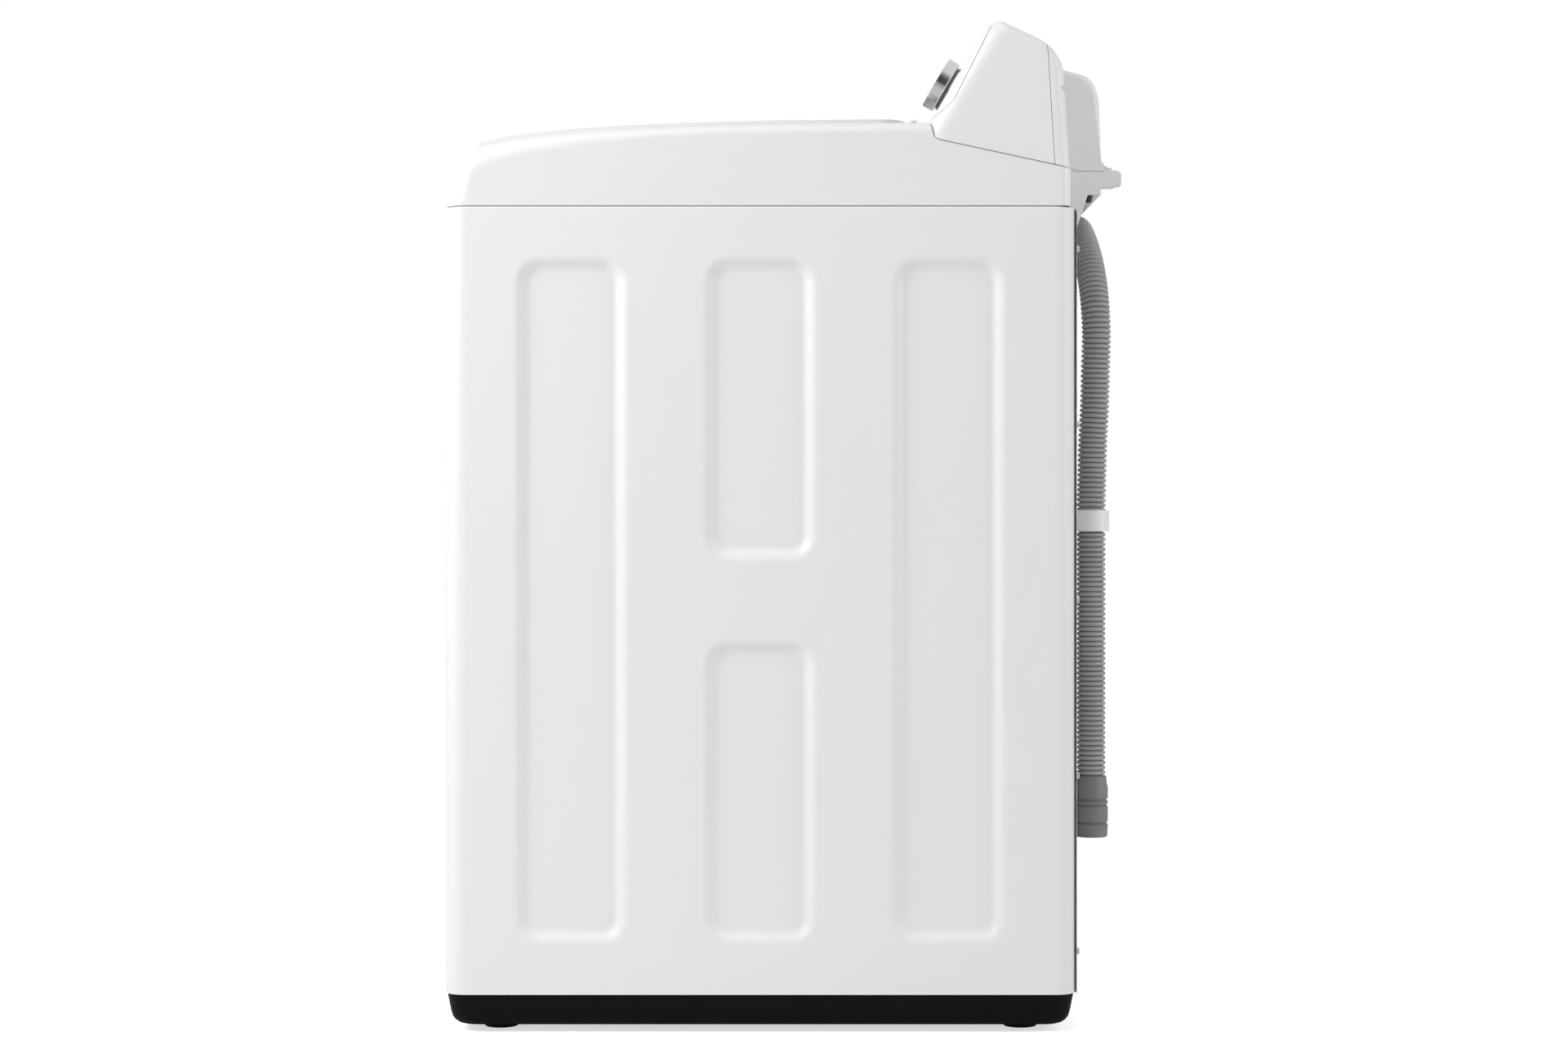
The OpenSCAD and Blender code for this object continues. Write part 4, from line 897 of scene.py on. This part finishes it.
# ---- Knob, buttons and display -------------------------------------------------------------------
# The cycle knob is an aluminium cap turned on a plastic core, over a dark collar. The buttons are
# moulded caps that pass through the fascia, and the display is a gloss black window.

def turned(profile, x, up, sides=96):
    return on_fascia(lathe(profile, (0, 0, 0), sides=sides), x, up)


brushing, brush_in, brush_out = new_group("fine_brushing", [("Stretch", "NodeSocketVector", (1, 1, 40))],
                                          [("Height", "NodeSocketFloat")])
brush_where = node(brushing, "ShaderNodeTexCoord")
brush_map = node(brushing, "ShaderNodeMapping")
brush_noise = node(brushing, "ShaderNodeTexNoise", [("Scale", 30), ("Detail", 3)])
wire(brushing, (brush_where, "Object", brush_map, "Vector"), (brush_in, "Stretch", brush_map, "Scale"),
     (brush_map, "Vector", brush_noise, "Vector"), (brush_noise, "Fac", brush_out, "Height"))


def brushed(name, colour, roughness, stretch, depth, **more):
    """A metal with fine lines, stretched along the axes where the stretch is small."""
    made = stuff(name, colour, roughness, metallic=1.0, **more)
    with_relief(made.node_tree, made.node_tree.nodes["Principled BSDF"], brushing, "Stretch", stretch, depth)
    return made


chrome_trim = brushed("chrome_trim", (0.72, 0.72, 0.73), 0.17, (40, 40, 40), 0.002, variation=0.05, scale=40,
                      spread=0.03)
knob_r, knob_low, knob_high = 0.0305, 0.0066, 0.0202
knob_line = [(0.0, knob_high - 0.0014), (0.020, knob_high - 0.0014), (0.0262, knob_high - 0.0012),
             (0.0275, knob_high - 0.0003), (0.0284, knob_high), (knob_r - 0.0005, knob_high),
             (knob_r, knob_high - 0.0005), (knob_r - 0.0003, knob_low + 0.0032),
             (knob_r - 0.0004, knob_low + 0.0012), (knob_r - 0.0012, knob_low + 0.0002),
             (knob_r - 0.002, knob_low), (knob_r - 0.004, knob_low), (knob_r - 0.004, knob_low + 0.006),
             (0.008, knob_low + 0.006), (0.008, knob_low), (0.003, knob_low), (0.003, -0.008), (0.0, -0.008)]
even_light(finished(turned(knob_line, knob_x, control_up), "knob_cap", chrome_trim, "cycle_knob",
                    node_name="cycle_knob", crease=28))
pointer = outline_block(0.0009, 0.0042, 0.0008, knob_high - 0.0013, knob_high - 0.0009, 4)
finished(on_fascia(shift(pointer, (0, 0.019, 0)), knob_x, control_up), "knob_pointer", dark_plastic,
         "cycle_knob")
collar_line = [(0.0046, 0.0), (0.0265, 0.0), (0.0265, 0.0045), (0.0257, 0.0058), (0.0245, 0.006),
               (0.0046, 0.006)]
collar_grey = stuff("collar_grey", (0.16, 0.16, 0.17), 0.4, variation=0.1, scale=40, grain=(1400, 0.02))
even_light(finished(turned(collar_line, knob_x, control_up), "knob_collar", collar_grey,
                    node_name="knob_bezel"))
ticks = []
for hour in [*range(6), *range(7, 12)]:
    tick = shift(outline_block(0.0007, 0.0022, 0.0005, -0.0002, 0.00012, 3), (0, 0.0365, 0))
    bmesh.ops.rotate(tick, verts=tick.verts, matrix=Matrix.Rotation(math.radians(-30 * hour), 3, "Z"))
    ticks.append(on_fascia(tick, knob_x, control_up))
mark_grey = stuff("printed_marks", (0.20, 0.20, 0.21), 0.5, variation=0.1, scale=60)
finished(joined(ticks), "dial_marks", mark_grey)


def front_edge(edge):
    return sharp(edge) and all(v.co.z > 0 for v in edge.verts)


def button_cap(half_w, half_h, radius, proud):
    """A rounded cap with a flange that keeps it behind the fascia."""
    cap = outline_block(half_w, half_h, radius, -0.0035, proud, 10)
    on_lip(cap, front_edge, 0.0008, 4)
    flange = outline_block(half_w + 0.0015, half_h + 0.0015, radius + 0.0012, -0.006, -0.0034, 8)
    return joined([cap, flange])


round_cap, long_cap = (0.011, 0.011, 0.01099, 0.0015), (0.015, 0.006, 0.005, 0.0012)
for name, x, sizes in (("power_button", power_x, round_cap), ("start_button", start_x, round_cap),
                       *(("option_button_%d" % (k + 1), x, long_cap) for k, x in enumerate(option_x))):
    even_light(finished(on_fascia(button_cap(*sizes), x, control_up), name + "_cap", white_plastic, name,
                        node_name=name))
signs = [on_fascia(outline_block(0.0011, 0.0011, 0.00109, -0.0002, 0.0002, 5), x, control_up + 14)
         for x in option_x]
lamp_glow = stuff("signal_lens", (0.35, 0.55, 0.62), 0.2, variation=0.05, scale=50)
finished(joined(signs), "signal_lenses", lamp_glow)
gloss_black = stuff("display_black", (0.006, 0.006, 0.008), 0.08, variation=0.1, scale=10, spread=0.02,
                    coat=0.4)
display = outline_block(0.0747, 0.0217, 0.0057, -0.003, 0.0004)
on_lip(display, front_edge, 0.0005, 3)
even_light(finished(on_fascia(display, display_x, control_up + 4), "display_pane", gloss_black,
                    node_name="display_window"))


# ---- Rear hood, inlet box and latch --------------------------------------------------------------
# A moulded hood covers the inlet valve behind the console. It closes on an open box below, which is
# braced by two gussets, and a screwed latch block holds the two together.

hood_line = millimetres([(326, 1068.8), (363.9, 1058.7), (373, 1050.5), (378.5, 1035), (381.2, 960),
                         (383, 960), (383, 951.3), (339, 951.3), (331.3, 1056.4)])
hood_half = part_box("rear_hood")[1][0]
hood_round = 0.010


def hood_rounding(a, b):
    """The rounding of an edge: small across the top corners, wide down the sides, none at the foot."""
    if abs(a.x - b.x) > 1e-6:
        for k, size in ((1, 0.0042), (2, 0.0042), (3, 0.0075)):
            if (Vector((a.y, a.z)) - Vector(hood_line[k])).length < 1e-5:
                return size / hood_round
        return 0.0
    upper = min(a.z, b.z) > 0.9595 and max(a.y, b.y) > hood_line[0][0]
    long_enough = abs(a.z - b.z) + abs(a.y - b.y) > 0.004 and (a - b).length < 0.09
    return 0.7 if upper and long_enough else 0.0


hood = weigh(across(hood_line, -hood_half, hood_half), hood_rounding)
port_places, port_z = (-0.150, -0.070), 0.985
port_hole = [(0, 0.010), (0.0152, 0.010), (0.0152, 0.08), (0, 0.08)]
hood = worked(hood, hood_round, 6, [
    ("DIFFERENCE", lathe(port_hole, (x, 0.3455 + cab_mid, port_z), axis="Y", sides=48)) for x in port_places])
even_light(finished(hood, "inlet_hood", white_plastic, node_name="rear_hood", crease=28))

rim_line = millimetres([(341, 955.2), (341, 960.4), (383.6, 960.4), (383.6, 951.4), (357, 951.4),
                        (346, 955.2)])
hood_rim = worked(across(rim_line, -hood_half - 0.0012, hood_half + 0.0012))
on_lip(hood_rim, sharp, 0.0007, 2)
even_light(finished(hood_rim, "hood_rim", white_plastic))


def softened(node_name, name, material, width, body="cabinet", segments=2):
    """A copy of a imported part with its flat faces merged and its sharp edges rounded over."""
    bm = bmesh.new()
    bm.from_mesh(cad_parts[node_name].data)
    bmesh.ops.remove_doubles(bm, verts=bm.verts, dist=2e-6)
    bmesh.ops.dissolve_limit(bm, angle_limit=math.radians(0.8), verts=bm.verts, edges=bm.edges)
    on_lip(bm, lambda e: e.calc_face_angle(0) > math.radians(40), width, segments)
    even_light(finished(bm, name, material, body, node_name=node_name))


softened("inlet_box", "inlet_tray", white_plastic, 0.0009)
softened("hood_latch", "latch_block", white_plastic, 0.0009)
softened("hose_clip", "hose_ring", white_plastic, 0.001, segments=3)
softened("power_gland", "cord_gland", black_plastic, 0.0007)
softened("drain_outlet", "outlet_elbow", dark_plastic, 0.0012)


# ---- Inlet valve ---------------------------------------------------------------------------------
# A twin solenoid valve in grey nylon, screwed inside the hood. Its two ports pass out through the
# hood's face, each with a moulded pipe thread for a hose union.

valve_plastic = stuff("valve_plastic", (0.62, 0.63, 0.62), 0.45, variation=0.06, scale=20, grain=(1200, 0.02))
thread_line = [(0.0098, 0.0), (0.0128, 0.0)]
for turn in range(8):
    foot_of_turn = 0.0018 * turn
    thread_line += [(0.0134, foot_of_turn + 0.0006), (0.0134, foot_of_turn + 0.0010),
                    (0.0124, foot_of_turn + 0.0016)]
thread_line += [(0.0124, 0.0152), (0.0118, 0.016), (0.0098, 0.016)]
threads = [lathe(thread_line, (x, 0.3797 + cab_mid, port_z), axis="Y", sides=48) for x in port_places]
finished(joined(threads), "inlet_threads", valve_plastic, crease=25)


# ---- Rear panel ----------------------------------------------------------------------------------
# A galvanised sheet closes the back. A broad field and two ribs are pressed out of it for stiffness,
# and ten hexagon-headed screws hold it to the wrap's flanges.

spangle = stuff("galvanised", (0.60, 0.61, 0.62), 0.42, variation=0.22, scale=55, spread=0.25, metallic=0.85,
                grain=(260, 0.03))
plate_low, plate_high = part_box("rear_panel")
plate_y = 0.3465 + cab_mid
field_half_w, field_slope = 0.265, 0.012
rear_sheet = bmesh.new()


def rear_loop(low_x, high_x, low_z, high_z, radius):
    return rounded_outline(rear_sheet, [(high_x, plate_y, low_z), (low_x, plate_y, low_z),
                                        (low_x, plate_y, high_z), (high_x, plate_y, high_z)], radius, 8)


loops = [rear_loop(plate_low[0], plate_high[0], plate_low[2], plate_high[2], 0.003)]
for low_z, high_z, radius in ((0.273, 0.737, 0.03), (0.106, 0.150, 0.018), (0.186, 0.230, 0.018)):
    loops.append(rear_loop(-field_half_w, field_half_w, low_z, high_z, radius))
edges = [edge for loop in loops for edge in ring_of(rear_sheet, loop)]
bmesh.ops.triangle_fill(rear_sheet, use_beauty=True, use_dissolve=False, edges=edges, normal=(0, 1, 0))
for k, loop in enumerate(loops[1:]):
    field = rear_sheet.faces.new(loop)
    field.normal_update()
    if field.normal.y < 0:
        field.normal_flip()
    press_in(rear_sheet, field, field_slope, -0.0039 if k == 0 else -0.003, 6)
bmesh.ops.recalc_face_normals(rear_sheet, faces=rear_sheet.faces)
if max(rear_sheet.faces, key=lambda f: f.calc_area()).normal.y < 0:
    bmesh.ops.reverse_faces(rear_sheet, faces=rear_sheet.faces)
even_light(sheet_wall(finished(rear_sheet, "rear_sheet", spangle, node_name="rear_panel", crease=50), 0.001))
zinc_screw = stuff("zinc_screw", (0.55, 0.55, 0.53), 0.35, variation=0.15, scale=90, spread=0.2, metallic=0.9)
softened("rear_panel_screws", "rear_screws", zinc_screw, 0.0004)


# ---- Skirt and feet ------------------------------------------------------------------------------
# The black skirt is one moulding round the base, drawn in towards the floor with rounded corners.
# Rubber pads screw in under it on zinc-plated studs to level the machine.

skirt_low, skirt_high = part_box("base_skirt")
skirt_mid = Vector(((skirt_low[0] + skirt_high[0]) / 2, (skirt_low[1] + skirt_high[1]) / 2, 0))
half_x, half_y = (skirt_high[0] - skirt_low[0]) / 2, (skirt_high[1] - skirt_low[1]) / 2
skirt = bmesh.new()
level = ring_of(skirt, plan_ring(skirt, (-half_x, -half_y), (half_x, half_y), skirt_high[2], 0.022))
last_drop = last_pinch = 0.0
for drop, pinch in ((0.0006, 0), (0.020, 0.0035), (0.0265, 0.0052), (0.0305, 0.0078), (0.0335, 0.0112),
                    (0.0345, 0.0135), (0.0347, 0.016)):
    level = pull(skirt, level, (0, 0, last_drop - drop))
    level = [e for e in level if all(abs(v.co.z - (skirt_high[2] - drop)) < 1e-6 for v in e.verts)]
    for v in {v for e in level for v in e.verts}:
        v.co.x *= (half_x - pinch) / (half_x - last_pinch)
        v.co.y *= (half_y - pinch) / (half_y - last_pinch)
    last_drop, last_pinch = drop, pinch
shift(skirt, skirt_mid)
# The skirt's finish is partly its own black plastic and partly painted shade: its colour and specular are set
# darker than the plastic's own, for the shade that the skirt sits in.
skirt_black_and_shade = stuff("skirt_black_and_shade", (0.004, 0.004, 0.0044), 0.5, variation=0.2, scale=10, spread=0.08,
                    specular=0.08, grain=(1100, 0.02))
even_light(sheet_wall(finished(turn_out(skirt), "plinth_skirt", skirt_black_and_shade, node_name="base_skirt",
                               crease=50), 0.003))
rubber = stuff("rubber", (0.015, 0.015, 0.016), 0.75, variation=0.3, scale=30, grain=(700, 0.05))
softened("foot_pads", "foot_rubbers", rubber, 0.0014, segments=3)


# ---- Basket --------------------------------------------------------------------------------------
# The spin basket is rolled from perforated stainless sheet and closed by a moulded balance ring full
# of brine. The ribbed pulsator turns on its own shaft in the middle of the floor.

basket_low, basket_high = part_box("basket_shell")
axis_y = (basket_low[1] + basket_high[1]) / 2
basket_r = basket_high[0]
sheet_h = basket_high[2] - basket_low[2]
columns, rows = 90, 22
drum = bmesh.new()
bmesh.ops.create_grid(drum, x_segments=columns, y_segments=rows, size=0.5)
drilled = [f for f in drum.faces if -0.42 < f.calc_center_median().y < 0.42]
for v in drum.verts:
    v.co.x *= 2 * math.pi * basket_r
    v.co.y *= sheet_h
bmesh.ops.inset_individual(drum, faces=drilled, thickness=0.0064)
bmesh.ops.delete(drum, geom=drilled, context="FACES_ONLY")
bmesh.ops.delete(drum, geom=[e for e in drum.edges if not e.link_faces], context="EDGES")
holes = [v for v in drum.verts if v.is_boundary and len(v.link_edges) == 3
         and abs(v.co.y) < sheet_h * 0.45 and abs(v.co.x) < math.pi * basket_r - 1e-4]
bmesh.ops.bevel(drum, geom=holes, offset=0.0015, offset_type="OFFSET", segments=1, profile=0.5,
                affect="VERTICES", material=-1)
for v in drum.verts:
    around, flute = v.co.x / basket_r, 0.0012 * math.cos(v.co.x / basket_r * 15) - 0.0014
    v.co = Vector(((basket_r + flute) * math.sin(around), axis_y - (basket_r + flute) * math.cos(around),
                   basket_low[2] + sheet_h / 2 + v.co.y))
bmesh.ops.remove_doubles(drum, verts=drum.verts, dist=1e-5)
stainless = brushed("stainless", (0.58, 0.585, 0.59), 0.27, (1, 1, 40), 0.006, variation=0.06, scale=12,
                    spread=0.12)
sheet_wall(finished(turn_out(drum), "drilled_drum", stainless, "basket", node_name="basket_shell", crease=50),
           0.001)

ring_low, ring_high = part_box("balance_ring")
ring_h = ring_high[2] - ring_low[2]
ring_out = ring_high[0]
ring_line = [(ring_out - 0.034, 0.004), (ring_out - 0.030, 0.0), (ring_out - 0.001, 0.0), (ring_out, 0.001),
             (ring_out, ring_h - 0.006), (ring_out - 0.002, ring_h - 0.0015), (ring_out - 0.006, ring_h),
             (ring_out - 0.014, ring_h - 0.0004), (ring_out - 0.022, ring_h - 0.003),
             (ring_out - 0.029, ring_h - 0.0075), (ring_out - 0.033, ring_h - 0.014),
             (ring_out - 0.034, ring_h - 0.019)]
ring_white = stuff("ring_white", (0.70, 0.71, 0.72), 0.35, variation=0.04, scale=15, grain=(900, 0.02))
even_light(finished(lathe(ring_line, (0, axis_y, ring_low[2]), sides=128), "brine_ring", ring_white, "basket",
                    node_name="balance_ring", crease=30))

puls_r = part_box("pulsator")[1][0]
deck_z = 0.3430
dish = [(0.0, 0.337), (0.02, 0.337), (puls_r - 0.006, 0.336), (puls_r - 0.001, 0.3375), (puls_r, 0.340),
        (puls_r - 0.001, 0.3425), (puls_r - 0.005, 0.3435), (puls_r - 0.014, 0.3432), (0.150, 0.346),
        (0.100, 0.351), (0.060, 0.3585), (0.040, 0.365), (0.030, 0.3715), (0.0, 0.3722)]
blades = [lathe(dish, (0, axis_y, 0), sides=96)]
for k in range(4):
    blade = bmesh.new()
    bmesh.ops.create_grid(blade, x_segments=14, y_segments=6, size=0.5)
    for v in blade.verts:
        along_it, over = v.co.x + 0.5, v.co.y * 2
        reach = 0.036 + 0.142 * along_it
        width = 0.010 + 0.010 * along_it
        lift = 0.032 * (1 - over ** 4) * min(1, 6 * (1 - along_it)) ** 0.5 * (0.75 + 0.25 * (1 - along_it))
        v.co = Vector((reach, over * width + 0.016 * math.sin(along_it * 2.4), deck_z + max(lift, 0)))
    bmesh.ops.rotate(blade, verts=blade.verts, matrix=Matrix.Rotation(math.pi / 2 * k + math.pi / 4, 3, "Z"))
    bmesh.ops.recalc_face_normals(shift(blade, (0, axis_y, 0)), faces=blade.faces)
    if sum(f.normal.z for f in blade.faces) < 0:
        bmesh.ops.reverse_faces(blade, faces=blade.faces)
    blades.append(blade)
pulsator_plastic = stuff("pulsator_plastic", (0.55, 0.58, 0.61), 0.34, variation=0.05, scale=15,
                         grain=(800, 0.03))
even_light(finished(joined(blades), "ribbed_pulsator", pulsator_plastic, "pulsator",
                    node_name="pulsator", crease=40))
cap_low, cap_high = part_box("pulsator_cap")
cap_r, cap_h = cap_high[0], cap_high[2] - cap_low[2]
cap_line = [(0.0, 0.0), (cap_r, 0.0), (cap_r, 0.0015), (cap_r - 0.002, cap_h - 0.004),
            (cap_r - 0.006, cap_h - 0.001), (cap_r - 0.012, cap_h - 0.0006),
            (cap_r - 0.014, cap_h - 0.0014), (0.0, cap_h)]
even_light(finished(lathe(cap_line, (0, axis_y, cap_low[2]), sides=64), "pulsator_badge_cap", chrome_trim,
                    "pulsator", node_name="pulsator_cap", crease=30))


# ---- Springs, bellows and hose band ---------------------------------------------------------------
# Four coil springs carry the tub on its rods and a rubber bellows joins its sump to the pump. In the
# machine all shorten as the tub sinks; here each keeps its imported shape on a mesh of its own. A sprung
# steel band with two ears grips the drain hose on its spigot.

spring_steel = brushed("spring_steel", (0.50, 0.50, 0.49), 0.32, (40, 4, 4), 0.004, variation=0.1, scale=60)
for node_name, name, finish in (("suspension_springs", "coil_springs", spring_steel),
                                ("sump_bellows", "pump_bellows", rubber)):
    yielding = bmesh.new()
    yielding.from_mesh(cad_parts[node_name].data)
    bmesh.ops.remove_doubles(yielding, verts=yielding.verts, dist=1e-6)
    yielding = finished(yielding, name, finish, node_name=node_name, crease=40)
    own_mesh(yielding)

band_r, band_half_w = 0.0167, 0.005
band_x, band_y, band_z = hose_route[0].x + 0.013, hose_route[0].y, hose_route[0].z
band_parts = [lathe([(band_r, -band_half_w), (band_r + 0.0008, -band_half_w), (band_r + 0.0008, band_half_w),
                     (band_r, band_half_w)], (band_x, band_y, band_z), axis="X")]
for ear_y in (band_y - 0.003, band_y + 0.003):
    band_parts.append(plan_block((band_x - band_half_w, ear_y - 0.0005),
                                 (band_x + band_half_w, ear_y + 0.0005),
                                 0.0004, band_z + band_r - 0.0006, band_z + band_r + 0.0034, 3))
finished(joined(band_parts), "hose_band", spring_steel)


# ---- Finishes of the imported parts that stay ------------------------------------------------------
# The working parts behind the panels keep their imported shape, and each gets its own finish: moulded
# plastic for the tub, cast aluminium for the bearing housing, zinc or bright steel for the rest.

drawer_blue = stuff("drawer_plastic", (0.50, 0.60, 0.70), 0.3, variation=0.04, scale=15, grain=(900, 0.01))
softened("detergent_drawer", "detergent_tray", drawer_blue, 0.0009, "detergent_drawer")
tub_plastic = stuff("tub_plastic", (0.66, 0.67, 0.67), 0.42, variation=0.08, scale=6, grain=(500, 0.05))
cast_aluminium = stuff("cast_aluminium", (0.50, 0.50, 0.51), 0.5, variation=0.15, scale=40, spread=0.2,
                       metallic=0.8, grain=(500, 0.08))
winding = stuff("winding", (0.42, 0.17, 0.07), 0.38, variation=0.3, scale=120, metallic=0.6, grain=(900, 0.2))
kept = {
    "base_frame": spangle, "foot_studs": zinc_screw, "inlet_valve": valve_plastic,
    "inner_drain_hose": rubber, "drain_pump_body": dark_plastic,
    "suspension_rods": zinc_screw, "lid_hinge_brackets": white_cover,
    "lid_lock_body": dark_plastic, "dispenser_housing": white_plastic, "outer_tub": tub_plastic,
    "tub_cover_ring": tub_plastic, "bearing_housing": cast_aluminium, "stator": winding,
    "main_bearings": chrome_trim, "tub_seal": rubber, "basket_base": stainless, "spin_shaft": chrome_trim,
    "drive_shaft": chrome_trim, "rotor": cast_aluminium, "clutch_coupler": dark_plastic,
    "clutch_lever": zinc_screw, "pump_impeller": dark_plastic, "lid_hinge_pins": chrome_trim,
    "lid_lock_bolt": chrome_trim,
}
for node_name, finish in kept.items():
    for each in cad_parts[node_name].material_slots:
        each.material = finish
